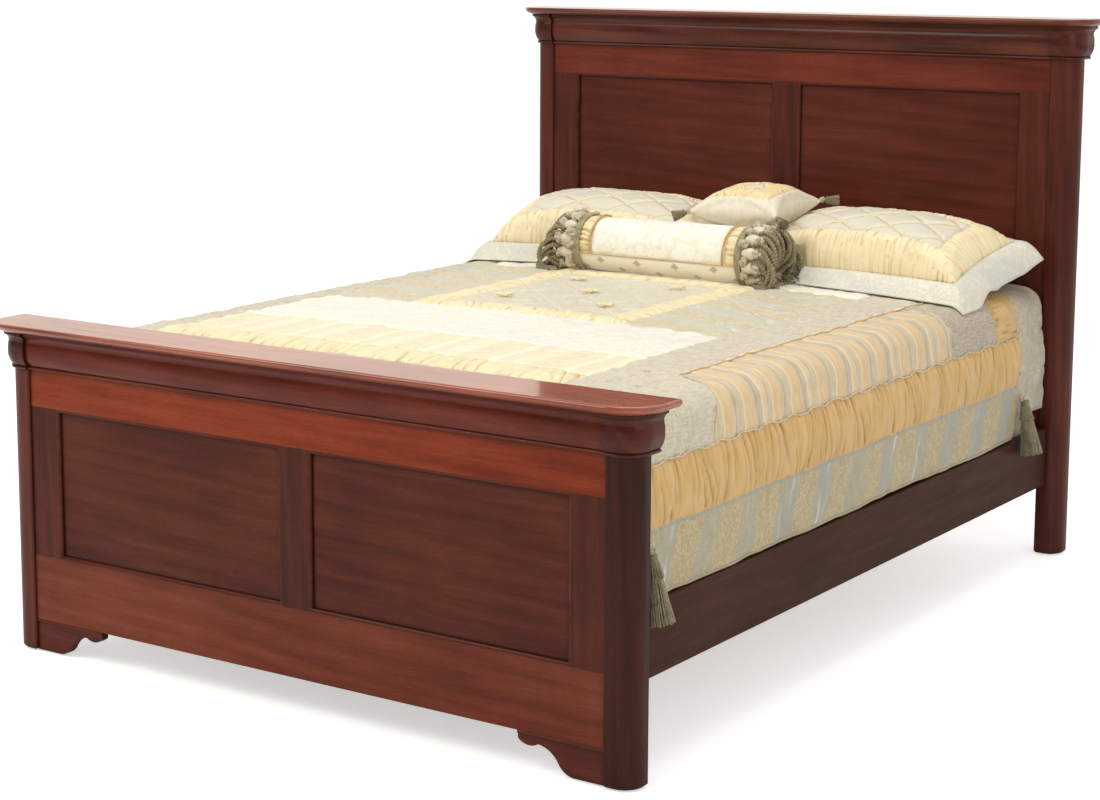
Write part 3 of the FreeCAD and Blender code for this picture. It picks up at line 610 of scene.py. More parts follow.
@dataclass(frozen=True)
class JacquardFinish(Finish):
    """Leafy figured cloth with broad satin stripes."""

    ground: str
    leaf: str
    stripe: str
    repeat: float = 0.168
    striped: float = 1.0
    line: str = "97895f"

    def dress(self, bench: NodeBench) -> None:
        """Builds the shader.

        Args:
            bench: the material's nodes.
        """
        cloth = bench.own("cloth", 1)
        lean = bench.math("MULTIPLY", bench.part(cloth, 0), -0.27)
        along = bench.math("ADD", bench.part(cloth, 1), lean)
        wander = bench.noise(cloth, scale=6.0, detail=3.0, rough=0.7)
        along = bench.math("ADD", along, bench.math("MULTIPLY", wander, 0.06))
        wave = bench.from_line(along, self.repeat)
        uneven = bench.noise(bench.scaled(cloth, (1.5, 9.0, 1.0)), detail=2.0)
        band = bench.math("MULTIPLY", bench.between(wave, 0.20, 0.38),
                          bench.between(uneven, 0.36, 0.6, 0.5 * self.striped, 1.0 * self.striped))
        # painted highlights: thin glints inside the stripes, in patches
        glint = bench.between(bench.math("ABSOLUTE", bench.math("SUBTRACT", wave, 0.42)), 0.0, 0.05,
                              0.7 * self.striped, 0.0)
        shine = bench.noise(bench.scaled(cloth, (4.0, 12.0, 1.0)), detail=2.0)
        glint = bench.math("MULTIPLY", glint, bench.between(shine, 0.48, 0.66))
        leaves = bench.noise(cloth, scale=58.0, detail=2.0, swirl=2.2)
        veins = bench.noise(cloth, scale=170.0, detail=3.0, swirl=1.0)
        motif = bench.between(leaves, 0.44, 0.58)
        edge = bench.math("ABSOLUTE", bench.math("SUBTRACT", leaves, 0.5))
        edge = bench.between(edge, 0.0, 0.03, 0.28, 0.0)
        shade = bench.mix(bench.math("MULTIPLY", motif, bench.between(veins, 0.35, 0.6, 0.4, 1.0)),
                          colour(self.ground), colour(self.leaf))
        shade = bench.mix(edge, shade, colour(self.line))
        shade = bench.mix(band, shade, colour(self.stripe))
        shade = bench.mix(glint, shade, colour("efebdc"))
        # painted shade in the creases
        shade = bench.shaded_creases(shade, "77715f", 0.5)
        puckers = bench.noise(cloth, scale=38.0, detail=3.0, swirl=0.8)
        normal = bench.bump(motif, 0.0007, 0.5, bench.bump(puckers, 0.003, 0.5))
        bench.surface(Base_Color=shade, Normal=normal, Roughness=bench.between(motif, 0.0, 1.0, 0.4, 0.62),
                      Sheen_Weight=0.3, Sheen_Roughness=0.4, Specular_IOR_Level=0.45)


@dataclass(frozen=True)
class PiecedFinish(Finish):
    """A cushion's cloth: an outer band, a ruched satin band and a diamond-quilted centre."""

    outer: str
    band: str
    # colour of the painted shade in the ruched band's tucks and creases
    crease: str
    centre: str
    cord: str
    outer_width: float
    band_width: float
    diamond: float

    def dress(self, bench: NodeBench) -> None:
        """Builds the shader.

        Args:
            bench: the material's nodes.
        """
        cloth = bench.own("cloth", 1)
        inward = bench.own("inward")
        tucks = bench.noise(bench.scaled(bench.own("band", 1), (170.0, 9.0, 1.0)), detail=3.0, swirl=0.4)
        # painted highlight on the tucks' crests, painted shade in their hollows and in the creases
        satin = bench.mix(bench.between(tucks, 0.5, 0.8, 0.0, 0.5), colour(self.band), colour("fff2cc"))
        satin = bench.mix(bench.between(tucks, 0.30, 0.44, 0.5, 0.0), satin, colour(self.crease))
        satin = bench.shaded_creases(satin, self.crease, 0.75, 0.0, 0.9)
        leaf = bench.noise(cloth, scale=85.0, detail=3.0, swirl=1.2)
        middle = bench.mix(bench.between(leaf, 0.45, 0.62, 0.0, 0.35), colour(self.centre), colour("e6e0c8"))
        sums = [bench.math("ADD", bench.part(cloth, 0), bench.math("MULTIPLY", bench.part(cloth, 1), way))
                for way in (DIAMOND_SLOPE, -DIAMOND_SLOPE)]
        lines = [bench.from_line(each, self.diamond, 0.5) for each in sums]
        near = bench.math("MINIMUM", lines[0], lines[1])
        middle = bench.mix(bench.between(near, 0.013, 0.022, 1.0, 0.0), middle, colour(self.cord))
        outside = bench.mix(bench.between(leaf, 0.42, 0.6, 0.0, 0.6), colour(self.outer), colour("dcd6bf"))
        inner_edge = self.outer_width + self.band_width
        past_outer = bench.math("GREATER_THAN", inward, self.outer_width)
        shade = bench.mix(past_outer, outside, satin)
        shade = bench.mix(bench.math("GREATER_THAN", inward, inner_edge), shade, middle)
        puckers = bench.noise(cloth, scale=60.0, detail=3.0, swirl=0.6)
        on_band = bench.math("MULTIPLY", past_outer, bench.math("LESS_THAN", inward, inner_edge))
        normal = bench.bump(leaf, 0.0006, 0.3, bench.bump(puckers, 0.0018, 0.45))
        normal = bench.bump(bench.math("MULTIPLY", tucks, on_band), 0.003, 0.25, normal)
        bench.surface(Base_Color=shade, Normal=normal, Roughness=0.46, Sheen_Weight=0.3,
                      Sheen_Roughness=0.4, Specular_IOR_Level=0.45)


@dataclass(frozen=True)
class BrocadeFinish(Finish):
    """The bolster's cloth: cream above, grey with small lozenges below."""

    upper: str
    lower: str
    lozenge: str
    across: float = 8.6
    round: float = 15.0
    inset: float = 0.18

    def dress(self, bench: NodeBench) -> None:
        """Builds the shader.

        Args:
            bench: the material's nodes.
        """
        cloth = bench.own("cloth", 1)
        shadow = bench.noise(cloth, scale=30.0, detail=3.0, swirl=1.5)
        cream = bench.mix(bench.between(shadow, 0.45, 0.6, 0.0, 0.5), colour(self.upper), colour("e4dcc0"))
        reaches = []
        for shift in (0.0, 0.5):
            lattice = bench.scaled(cloth, (self.across, self.round, 1.0), (shift, shift + self.inset, 0.0))
            cell = bench.node("ShaderNodeVectorMath", {0: lattice}, operation="FRACTION")
            off = [bench.math("ABSOLUTE", bench.math("SUBTRACT", bench.part(cell, i), 0.5)) for i in (0, 1)]
            reaches.append(bench.math("ADD", bench.math("MULTIPLY", off[0], 1 / self.across),
                                      bench.math("MULTIPLY", off[1], 1.1 / self.round)))
        weave = bench.noise(cloth, scale=420.0, detail=2.0)
        ragged = bench.math("ADD", bench.math("MINIMUM", reaches[0], reaches[1]),
                            bench.math("MULTIPLY", weave, 0.026))
        small = bench.between(ragged, 0.0245, 0.0265, 1.0, 0.0)
        grey = bench.mix(bench.math("MULTIPLY", small, 0.75), colour(self.lower), colour(self.lozenge))
        below = bench.own("lower")
        shade = bench.mix(bench.between(below, 0.48, 0.52), cream, grey)
        # painted shade in the creases
        shade = bench.shaded_creases(shade, "7f7560", 0.6)
        threads = bench.noise(bench.scaled(cloth, (220.0, 900.0, 1.0)), detail=2.0)
        normal = bench.bump(threads, 0.0002, 0.4, bench.bump(shadow, 0.0012, 0.5))
        bench.surface(Base_Color=shade, Normal=normal, Roughness=0.5, Sheen_Weight=0.3,
                      Sheen_Roughness=0.4, Specular_IOR_Level=0.4)


@dataclass(frozen=True)
class YarnFinish(Finish):
    """Rayon yarn of ropes, knots, braid and tassels."""

    shade: str
    glint: str
    deep: str

    def dress(self, bench: NodeBench) -> None:
        """Builds the shader.

        Args:
            bench: the material's nodes.
        """
        spot = bench.place()
        strand = bench.noise(bench.scaled(spot, (700.0, 700.0, 90.0)), detail=3.0)
        patch = bench.noise(spot, scale=60.0, detail=2.0)
        # the lighter glint colour along the strands is a painted highlight
        shade = bench.mix(bench.between(strand, 0.35, 0.7), colour(self.shade), colour(self.glint))
        shade = bench.mix(bench.between(patch, 0.4, 0.75, 0.0, 0.5), shade, colour(self.deep))
        bench.surface(Base_Color=shade, Normal=bench.bump(strand, 0.0005, 0.5), Roughness=0.5,
                      Sheen_Weight=0.35, Sheen_Roughness=0.35, Specular_IOR_Level=0.4)


@dataclass(frozen=True)
class TickingFinish(Finish):
    """Stitched cover of the mattress and the foundation."""

    shade: str
    stitch: str
    diamond: float

    def dress(self, bench: NodeBench) -> None:
        """Builds the shader.

        Args:
            bench: the material's nodes.
        """
        spot = bench.place()
        sums = [bench.math("ADD", bench.math("ADD", bench.part(spot, 0), bench.part(spot, 2)),
                           bench.math("MULTIPLY", bench.part(spot, 1), way)) for way in (1.0, -1.0)]
        lines = [bench.from_line(each, self.diamond) for each in sums]
        near = bench.math("MINIMUM", lines[0], lines[1])
        fine = bench.noise(spot, scale=900.0, detail=1.0)
        shade = bench.mix(bench.between(near, 0.0, 0.05, 0.8, 0.0), colour(self.shade), colour(self.stitch))
        normal = bench.bump(bench.between(near, 0.0, 0.3), 0.006, 0.6, bench.bump(fine, 0.0002, 0.4))
        bench.surface(Base_Color=shade, Normal=normal, Roughness=0.8, Sheen_Weight=0.2,
                      Specular_IOR_Level=0.2)


def cherry(name: str, grain: Grain, dark: str, middle: str, light: str, **more: float) -> WoodFinish:
    """One of the bed's stained cherry finishes.

    Args:
        name: what it is for.
        grain: which way its grain runs.
        dark: darkest stain.
        middle: main stain.
        light: lightest stain.
        **more: gloss, coat, strength of the painted shade in the corners, and level.

    Returns:
        The finish.
    """
    return WoodFinish(f"cherry_{name}_{grain.value[1]}", grain, dark, middle, light, **more)


GOLD = SatinFinish("ruched_gold_satin", "d8b06c", "8d6226", glow="f0d296", tucked=0.35)
PALE_GOLD = SatinFinish("ruched_pale_satin", "f4e4b6", "bd8a34", glow="fff6d8", tucked=0.4)
CREAM = SatinFinish("cream_satin", "f7f3e0", "d3c9a6", rough=0.5, glow="fffcf0", tucked=0.15)
LACE = JacquardFinish("cream_figured_cotton", "f4eeda", "faf6e8", "e9e8de", repeat=0.3, striped=0.5,
                       line="d9cfb2")
SAGE = JacquardFinish("sage_figured_cotton", "d8d2b8", "e4dcc4", "d5d6cf", striped=0.0, line="bcb391")
LINEN = WeaveFinish("grey_linen", "cbbfab", "a89c88")
STRIP_LINEN = WeaveFinish("strip_linen", "dcd3bd", "c0b69e")
PALE_LINEN = WeaveFinish("pale_linen", "ddd5bf", "c4baa2", sprig=0.6)
STRIPE = StripeFinish("striped_satin", (
    (0.0, "dcbb88"), (0.08, "e9d3a6"), (0.11, "cfbd9c"), (0.19, "c6b596"), (0.23, "dec398"),
    (0.30, "e9d4aa"), (0.34, "c3b498"), (0.41, "b1a692"), (0.45, "d4bc93"), (0.52, "dfbd8b"),
    (0.67, "ebd6ab"), (0.70, "cebd9d"), (0.83, "bbae95"), (0.88, "dabf92")), repeat=0.208)
PALE_STRIPE = StripeFinish("pale_striped_satin", (
    (0.0, "f2dfb0"), (0.2, "f8f0d2"), (0.3, "e9dcb8"), (0.5, "f6e9c4"), (0.75, "e6d8b4")),
    repeat=0.19, axis=0, wash=0.25)
JACQUARD = JacquardFinish("leafy_jacquard", "b1a17a", "cebd90", "a6a699")
TOP_JACQUARD = JacquardFinish("pale_leafy_jacquard", "cdc2a0", "e4d8b2", "cfccbb", line="b3a67f")
FLORAL = JacquardFinish("grey_floral_satin", "bbae97", "d3c9b2", "a9a89c", repeat=0.12, striped=0.5,
                         line="9a917b")
PIPING = SatinFinish("blue_grey_piping", "a3a498", "7f8478", rough=0.5, glow="c8c8b8", tucked=0.2)
SCALLOPS = SatinFinish("scalloped_piping", "d2c7aa", "a89c7c", rough=0.5, glow="eae1c6", tucked=0.2)
HEM = SatinFinish("rolled_hem", "ab9f80", "857a5f", rough=0.5, glow="c6bb9c", tucked=0.2)
ROPE = YarnFinish("khaki_rope", "7f7354", "b5aa86", "4e4631")
KNOT = YarnFinish("grey_cream_knots", "b8ac8e", "ded5bd", "7d7155")
CORD = YarnFinish("gold_brown_cord", "bd9654", "e2c68c", "8a6a36")
BRAID = YarnFinish("khaki_braid", "a99c79", "cfc4a3", "837757")
SEAM_CORD = YarnFinish("pale_gold_cord", "d3b47c", "ecd9ac", "a98d58")
TUFT = SatinFinish("cream_tuft_satin", "ded4ba", "a4977a", rough=0.42, glow="f3ecd8", tucked=0.25)


# ---------------------------------------------------------------- shared mesh work
class Ripple:
    """Seeded smooth noise on a plane."""

    def __init__(self, seed: int) -> None:
        """Fills the lattice.

        Args:
            seed: fixes the pattern.
        """
        self.cells = np.random.default_rng(seed).random((256, 256))

    def at(self, u: Floats, v: Floats) -> Floats:
        """Noise from 0 to 1.

        Args:
            u: first coordinate, in cells.
            v: second coordinate.

        Returns:
            The noise at each point.
        """
        col, row = np.floor(u).astype(int), np.floor(v).astype(int)
        p, q = u - col, v - row
        p, q = p * p * (3 - 2 * p), q * q * (3 - 2 * q)
        here, right = self.cells[col % 256, row % 256], self.cells[(col + 1) % 256, row % 256]
        up, far = self.cells[col % 256, (row + 1) % 256], self.cells[(col + 1) % 256, (row + 1) % 256]
        return (here * (1 - p) + right * p) * (1 - q) + (up * (1 - p) + far * p) * q

    def gathers(self, along: Floats, across: Floats, pitch: float, reach: float) -> Floats:
        """Creases of gathered cloth.

        Args:
            along: distance along the gathered seam.
            across: distance from it.
            pitch: usual distance between creases.
            reach: how far a crease runs.

        Returns:
            0 on the back of a fold and 1 in a crease.
        """
        crease = np.zeros_like(along * across)
        for share, weight, turn in ((1.0, 1.0, 0.0), (0.57, 0.55, 40.0)):
            sway = self.at(along / (2.5 * pitch) + turn, across / reach + 3.1) * 2.2
            phase = along / (pitch * share) + sway + turn
            cell = np.floor(phase)
            far = np.abs(phase - cell - 0.5) * pitch * share
            keen = eased(self.at(cell * 7.31 + turn, across / (0.6 * reach) + cell * 3.7), 0.28, 0.75)
            crease = np.maximum(crease, weight * keen * np.exp(-(far / 0.0036) ** 2))
        return crease


def stored(mesh: bpy.types.Mesh, name: str, values: Floats) -> None:
    """Stores a value or vector on each vertex.

    Args:
        mesh: the mesh.
        name: the attribute.
        values: one number, or three, for each vertex.
    """
    vector = values.ndim == 2
    layer = mesh.attributes.new(name, "FLOAT_VECTOR" if vector else "FLOAT", "POINT")
    layer.data.foreach_set("vector" if vector else "value", values.astype(np.float32).ravel())


def shown(name: str, mesh: bpy.types.Mesh, finishes: list[Finish]) -> bpy.types.Object:
    """Puts a mesh in the scene, dressed and riding on the bed.

    Args:
        name: the piece's name.
        mesh: its mesh.
        finishes: its finishes, by material number.

    Returns:
        The piece.
    """
    mesh.name = name
    for finish in finishes:
        mesh.materials.append(finish.material())
    spots = coordinates(mesh)
    for name_of, values in (("cloth", spots), ("band", spots), ("fold", np.ones(len(spots)))):
        if name_of not in mesh.attributes:
            stored(mesh, name_of, values)
    mesh.polygons.foreach_set("use_smooth", np.ones(len(mesh.polygons), bool))
    piece = bpy.data.objects.new(name, mesh)
    bpy.context.scene.collection.objects.link(piece)
    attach(piece, BED)
    return piece


def grid_mesh(points: Floats, closed: bool = False, kept: Floats | None = None,
              zones: Floats | None = None, **layers: Floats) -> bpy.types.Mesh:
    """A mesh from a grid of points.

    Args:
        points: rows by columns by three.
        closed: joins the last column to the first.
        kept: which faces stay.
        zones: material number of each face.
        **layers: values to store on the points.

    Returns:
        The mesh.
    """
    rows, cols = points.shape[:2]
    index = np.arange(rows * cols).reshape(rows, cols)
    if closed:
        index = np.concatenate([index, index[:, :1]], axis=1)
    faces = np.stack([index[:-1, :-1], index[:-1, 1:], index[1:, 1:], index[1:, :-1]], -1).reshape(-1, 4)
    numbers = np.zeros(len(faces), int) if zones is None else zones.ravel()
    if kept is not None:
        faces, numbers = faces[kept.ravel()], numbers[kept.ravel()]
    used, flat = np.unique(faces.ravel(), return_inverse=True)
    mesh = bpy.data.meshes.new("grid")
    mesh.from_pydata(points.reshape(-1, 3)[used].tolist(), [], flat.reshape(-1, 4).tolist())
    mesh.polygons.foreach_set("material_index", numbers)
    for name, values in layers.items():
        stored(mesh, name, values.reshape(rows * cols, -1)[used].squeeze())
    return mesh


def joined_mesh(meshes: list[bpy.types.Mesh]) -> bpy.types.Mesh:
    """One mesh of several, without materials or stored values.

    Args:
        meshes: what to join; they are used up.

    Returns:
        The joined mesh.
    """
    points: list[Floats] = []
    faces: list[list[int]] = []
    numbers: list[int] = []
    start = 0
    for mesh in meshes:
        points.append(coordinates(mesh))
        faces.extend([[start + v for v in face.vertices] for face in mesh.polygons])
        numbers.extend(face.material_index for face in mesh.polygons)
        start += len(mesh.vertices)
        bpy.data.meshes.remove(mesh)
    made = bpy.data.meshes.new("joined")
    made.from_pydata(np.concatenate(points).tolist(), [], faces)
    made.polygons.foreach_set("material_index", numbers)
    return made


def frames_along(path: Floats) -> tuple[Floats, Floats]:
    """Two side directions at each point of a path, turning as little as possible.

    Args:
        path: the points.

    Returns:
        The two directions.
    """
    ahead = np.gradient(path, axis=0)
    ahead /= np.linalg.norm(ahead, axis=1)[:, None] + 1e-12
    side = np.zeros_like(path)
    start = np.cross(ahead[0], (0.0, 0.0, 1.0) if abs(ahead[0][2]) < 0.9 else (1.0, 0.0, 0.0))
    for i, way in enumerate(ahead):
        start = start - way * float(start @ way)
        start = start / (np.linalg.norm(start) + 1e-12)
        side[i] = start
    return side, np.cross(ahead, side)


def tube(path: Floats, radius: float | Floats, sides: int = 8, number: int = 0) -> bpy.types.Mesh:
    """A round tube along a path.

    Args:
        path: its points.
        radius: its radius, or one for each point.
        sides: points round it.
        number: material number.

    Returns:
        The mesh, open at its ends.
    """
    side, up = frames_along(path)
    turn = np.arange(sides) * 2 * math.pi / sides
    reach = np.broadcast_to(np.asarray(radius, float), (len(path),))[:, None, None]
    ring = side[:, None, :] * np.cos(turn)[None, :, None] + up[:, None, :] * np.sin(turn)[None, :, None]
    mesh = grid_mesh(path[:, None, :] + ring * reach, closed=True)
    mesh.polygons.foreach_set("material_index", np.full(len(mesh.polygons), number))
    return mesh


def twisted(path: Floats, radius: float, pitch: float, sides: int = 5,
            number: int = 0) -> list[bpy.types.Mesh]:
    """Two strands twisted round each other along a path.

    Args:
        path: the rope's line.
        radius: the rope's radius.
        pitch: length of one turn.
        sides: points round each strand.
        number: material number.

    Returns:
        The two strands.
    """
    length = np.concatenate([[0.0], np.cumsum(np.linalg.norm(np.diff(path, axis=0), axis=1))])
    count = max(8, int(length[-1] / pitch * 8))
    spots = np.linspace(0, length[-1], count)
    line = np.stack([np.interp(spots, length, path[:, i]) for i in range(3)], 1)
    side, up = frames_along(line)
    turn = spots / pitch * 2 * math.pi
    strands = []
    for start in (0.0, math.pi):
        off = side * np.cos(turn + start)[:, None] + up * np.sin(turn + start)[:, None]
        strands.append(tube(line + off * radius * 0.48, radius * 0.58, sides, number))
    return strands


def smoothed(points: list[tuple[float, float, float]], count: int) -> Floats:
    """A smooth line through points.

    Args:
        points: what it passes.
        count: how many points it gets.

    Returns:
        The line.
    """
    knots = np.array(points, float)
    padded = np.concatenate([2 * knots[:1] - knots[1:2], knots, 2 * knots[-1:] - knots[-2:-1]])
    spots = np.linspace(0, len(knots) - 1 - 1e-9, count)
    i = spots.astype(int)
    f = (spots - i)[:, None]
    a, b, c, d = padded[i], padded[i + 1], padded[i + 2], padded[i + 3]
    return 0.5 * (2 * b + (c - a) * f + (2 * a - 5 * b + 4 * c - d) * f ** 2
                  + (3 * b - a - 3 * c + d) * f ** 3)


def evaluated(piece: bpy.types.Object) -> bpy.types.Mesh:
    """A new mesh of an object as its modifiers make it."""
    return bpy.data.meshes.new_from_object(piece.evaluated_get(bpy.context.evaluated_depsgraph_get()))


def settled(points: Floats, faces: list[list[int]], cell: float, pressure: float, most: float,
            levels: int = 2) -> bpy.types.Mesh:
    """Remeshes a closed form evenly and lets cloth under air pressure settle it.

    Args:
        points: its vertices.
        faces: its faces.
        cell: size of the even mesh.
        pressure: of the air inside.
        most: how far a point may travel.
        levels: how often it is subdivided afterwards.

    Returns:
        The settled mesh.
    """
    mesh = bpy.data.meshes.new("settling")
    mesh.from_pydata(points.tolist(), [], faces)
    piece = bpy.data.objects.new("settling", mesh)
    scene = bpy.context.scene
    scene.collection.objects.link(piece)
    even = piece.modifiers.new("even", "REMESH")
    even.mode = "VOXEL"
    even.voxel_size = cell
    piece.data = evaluated(piece)
    piece.modifiers.clear()
    before = coordinates(piece.data)
    cloth = piece.modifiers.new("cloth", "CLOTH")
    cloth.settings.effector_weights.gravity = 0.0
    for key, value in (("use_pressure", True), ("uniform_pressure_force", pressure), ("quality", 4),
                       ("tension_stiffness", 20.0), ("compression_stiffness", 12.0),
                       ("bending_stiffness", 0.6)):
        setattr(cloth.settings, key, value)
    for frame in range(1, LAST_FRAME + 1):
        scene.frame_set(frame)
    loose = evaluated(piece)
    piece.modifiers.clear()
    scene.frame_set(1)
    moved = coordinates(loose) - before
    far = np.linalg.norm(moved, axis=1)[:, None]
    placed = before + moved * np.minimum(1.0, most / np.maximum(far, 1e-9))
    piece.data.vertices.foreach_set("co", placed.astype(np.float32).ravel())
    finer = piece.modifiers.new("finer", "SUBSURF")
    finer.levels = finer.render_levels = levels
    bpy.context.view_layer.update()
    made = evaluated(piece)
    bpy.data.objects.remove(piece)
    return made


def coordinates(mesh: bpy.types.Mesh) -> Floats:
    """The vertices of a mesh.

    Args:
        mesh: the mesh.

    Returns:
        Their places, one row each.
    """
    spots = np.zeros(len(mesh.vertices) * 3, np.float32)
    mesh.vertices.foreach_get("co", spots)
    return spots.reshape(-1, 3).astype(float)


def normals(mesh: bpy.types.Mesh) -> Floats:
    """The vertex normals of a mesh.

    Args:
        mesh: the mesh.

    Returns:
        The normals, one row each.
    """
    mesh.update()
    ways = np.zeros(len(mesh.vertices) * 3, np.float32)
    mesh.vertex_normals.foreach_get("vector", ways)
    return ways.reshape(-1, 3).astype(float)


def eased(value: Floats, low: float, high: float) -> Floats:
    """A smooth step.

    Args:
        value: the input.
        low: where it starts.
        high: where it ends.

    Returns:
        From 0 to 1.
    """
    share = np.clip((value - low) / (high - low), 0, 1)
    return share * share * (3 - 2 * share)


def crowned(x: Floats, y: Floats) -> Floats:
    """How far the mattress crowns.

    Args:
        x: place across the bed.
        y: place along it.

    Returns:
        The rise there.
    """
    across = np.clip(1 - (x / CROWN_HALF) ** 2, 0, 1)
    return CROWN * (across * np.clip(1 - ((y - CROWN_MIDDLE) / CROWN_REACH) ** 4, 0, 1))


# ---------------------------------------------------------------- the wooden bed and its hardware
def pine(grain: Grain) -> WoodFinish:
    """Plain unlacquered pine."""
    return WoodFinish(f"plain_pine_{grain.value[1]}", grain, "b98f5c", "d3ad78", "e3c596", gloss=0.6,
                      coat=0.0, glaze=0.3)


PRESSED_STEEL = MetalFinish("pressed_steel", "8f8d88", rough=0.42)
# the first pattern that fits a node's name gives its finish
FRAME_FINISHES: tuple[tuple[str, Finish], ...] = (
    ("*screws*", MetalFinish("zinc_screws", "a9a294", rough=0.35)),
    ("*hook_plates*", PRESSED_STEEL),
    ("leg_inserts", PRESSED_STEEL),
    ("leg*glide*", PlasticFinish("glide_nylon", "d8d2c4")),
    ("*glide*", PlasticFinish("glide_nylon", "3a332d")),
    ("slat_ledge*", cherry("ledge", Grain.ALONG_BED, "2c120d", "5c241a", "8a3a26")),
    ("slat_*", pine(Grain.ACROSS_BED)),
    ("centre_legs", pine(Grain.UPRIGHT)),
    ("side_rail*", cherry("side_rail", Grain.ALONG_BED, "3d261a", "452b1e", "4d3225", gloss=0.42,
                          coat=0.03, level=0.05)),
    # one post wood in two stains: the left foot post is lighter as painted light, the right one darker as
    # painted shade
    ("footboard_post_left", cherry("left_post", Grain.UPRIGHT, "4e241a", "643024", "793d2f", coat=0.2)),
    ("footboard_post_right", cherry("right_post", Grain.UPRIGHT, "2a140c", "3b1c12", "4d251a", coat=0.15)),
    ("*post*", cherry("head_post", Grain.UPRIGHT, "41190f", "55251a", "6b3225", coat=0.25)),
    ("head*stile*", cherry("head_stile", Grain.UPRIGHT, "3e1c14", "54271c", "693224")),
    ("*stile*", cherry("foot_stile", Grain.UPRIGHT, "3c1a10", "512518", "643021")),
    ("*crown_return*", cherry("return", Grain.ALONG_BED, "34170e", "4e2216", "652f20", coat=0.3)),
    ("head*crown*", cherry("head_crown", Grain.ACROSS_BED, "35180f", "57291c", "70382a", gloss=0.24,
                           coat=0.35)),
    ("*crown*", cherry("foot_crown", Grain.ACROSS_BED, "4c1b0e", "692716", "823a29", gloss=0.24,
                       coat=0.35)),
    # the foot cap's stain is lighter than the head cap's as painted light on its lit top
    ("footboard_cap", cherry("foot_cap", Grain.ACROSS_BED, "7e3520", "9e4d33", "b36245", gloss=0.2,
                             coat=0.85, level=0.3)),
    ("*cap*", cherry("head_cap", Grain.ACROSS_BED, "542518", "6e3626", "824634", gloss=0.2, coat=0.8)),
    ("footboard_top_rail", cherry("foot_top_rail", Grain.ACROSS_BED, "68240f", "873519", "9c4525")),
    ("footboard_bottom_rail", cherry("foot_low_rail", Grain.ACROSS_BED, "5e2819", "763824", "8a4630")),
    ("*rail*", cherry("head_rail", Grain.ACROSS_BED, "521f12", "6b2f21", "803b2b")),
    ("*bracket*", cherry("bracket", Grain.ACROSS_BED, "46201a", "632e22", "773a2b")),
    ("head*", cherry("head_panel", Grain.ACROSS_BED, "461b12", "59271b", "6a3225", glaze=0.8)),
    ("*", cherry("foot_panel", Grain.ACROSS_BED, "451a0f", "5a2819", "6c3524", glaze=0.8)),
)


@dataclass
class BedFrame:
    """Dresses the wooden nodes and the hardware of the frame."""

    nodes: dict[str, bpy.types.Object]

    def build(self) -> None:
        """Gives every wooden and metal node its finish."""
        for name, piece in self.nodes.items():
            piece.data.materials.clear()
            finish = next(finish for pattern, finish in FRAME_FINISHES if fnmatchcase(name, pattern))
            piece.data.materials.append(finish.material())
            LOG.info("%s dressed", name)


# ---------------------------------------------------------------- mattress and foundation
@dataclass
class MattressSet:
    """The mattress and its foundation under the quilt."""

    corner: float = 0.06
    tape_radius: float = 0.005

    def block(self, low: Vector, high: Vector, edge: float) -> list[bpy.types.Mesh]:
        """A padded block with rounded corners and a bound tape round both panels.

        Args:
            low: lowest corner.
            high: highest corner.
            edge: rounding of the panels' edges.

        Returns:
            The body's mesh and its two tapes.
        """
        turn = np.linspace(0, 2 * math.pi, 240, endpoint=False)
        half = Vector(((high.x - low.x) / 2, (high.y - low.y) / 2))
        middle = Vector(((high.x + low.x) / 2, (high.y + low.y) / 2))

        def ring(inset: float, z: float) -> Floats:
            """The block's outline at one height.

            Args:
                inset: distance inside the sides.
                z: height.

            Returns:
                The ring's points.
            """
            r = max(self.corner - inset, 0.004)
            a, b = half.x - inset - r, half.y - inset - r
            c, s = np.cos(turn), np.sin(turn)
            k = 1 / np.maximum(np.abs(c), np.abs(s))
            x, y = np.clip(c * k, -1, 1), np.clip(s * k, -1, 1)
            return np.stack([middle.x + a * x + r * c, middle.y + b * y + r * s, np.full_like(x, z)], 1)

        rings = [ring(half.x * 0.98, low.z)]
        rings += [ring(half.x * share, low.z) for share in (0.7, 0.4, 0.15)]
        for angle in np.linspace(0, math.pi / 2, 6):
            rings.append(ring(edge * (1 - math.sin(angle)), low.z + edge * (1 - math.cos(angle))))
        for angle in np.linspace(0, math.pi / 2, 6):
            rings.append(ring(edge * (1 - math.cos(angle)), high.z - edge * (1 - math.sin(angle))))
        rings += [ring(half.x * share, high.z) for share in (0.15, 0.4, 0.7, 0.98)]
        body = grid_mesh(np.array(rings), closed=True)
        tapes = []
        for z, way in ((low.z, 1), (high.z, -1)):
            line = ring(edge * 0.3 + self.tape_radius, z + way * (edge * 0.3 + self.tape_radius))
            tapes.append(tube(np.concatenate([line, line[:2]]), self.tape_radius, 6, 1))
        return [body, *tapes]

    def build(self) -> None:
        for name, edge, slot, shade in (("foundation", 0.012, "foundation_cover", "c9c1ae"),
                                        ("mattress", 0.028, "mattress_ticking", "ece6d8")):
            low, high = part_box(name)
            finishes: list[Finish] = [TickingFinish(f"{name}_ticking", shade, "a59c88", diamond=0.09),
                                      YarnFinish(f"{name}_tape", "b7ab92", "d8cfb9", "8e836c")]
            piece = shown(f"{name}_cover", joined_mesh(self.block(low, high, edge)), finishes)
            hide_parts(name)


# ---------------------------------------------------------------- the quilt
class Patch(Enum):
    """The quilt's cloths, with their material numbers."""

    LINEN = 0
    PALE_LINEN = 1
    STRIPE = 2
    PALE_STRIPE = 3
    GOLD = 4
    PALE_GOLD = 5
    LACE = 6
    SAGE = 7
    JACQUARD = 8
    FLORAL = 9
    PIPING = 10
    STRIP_LINEN = 11
    TOP_JACQUARD = 12


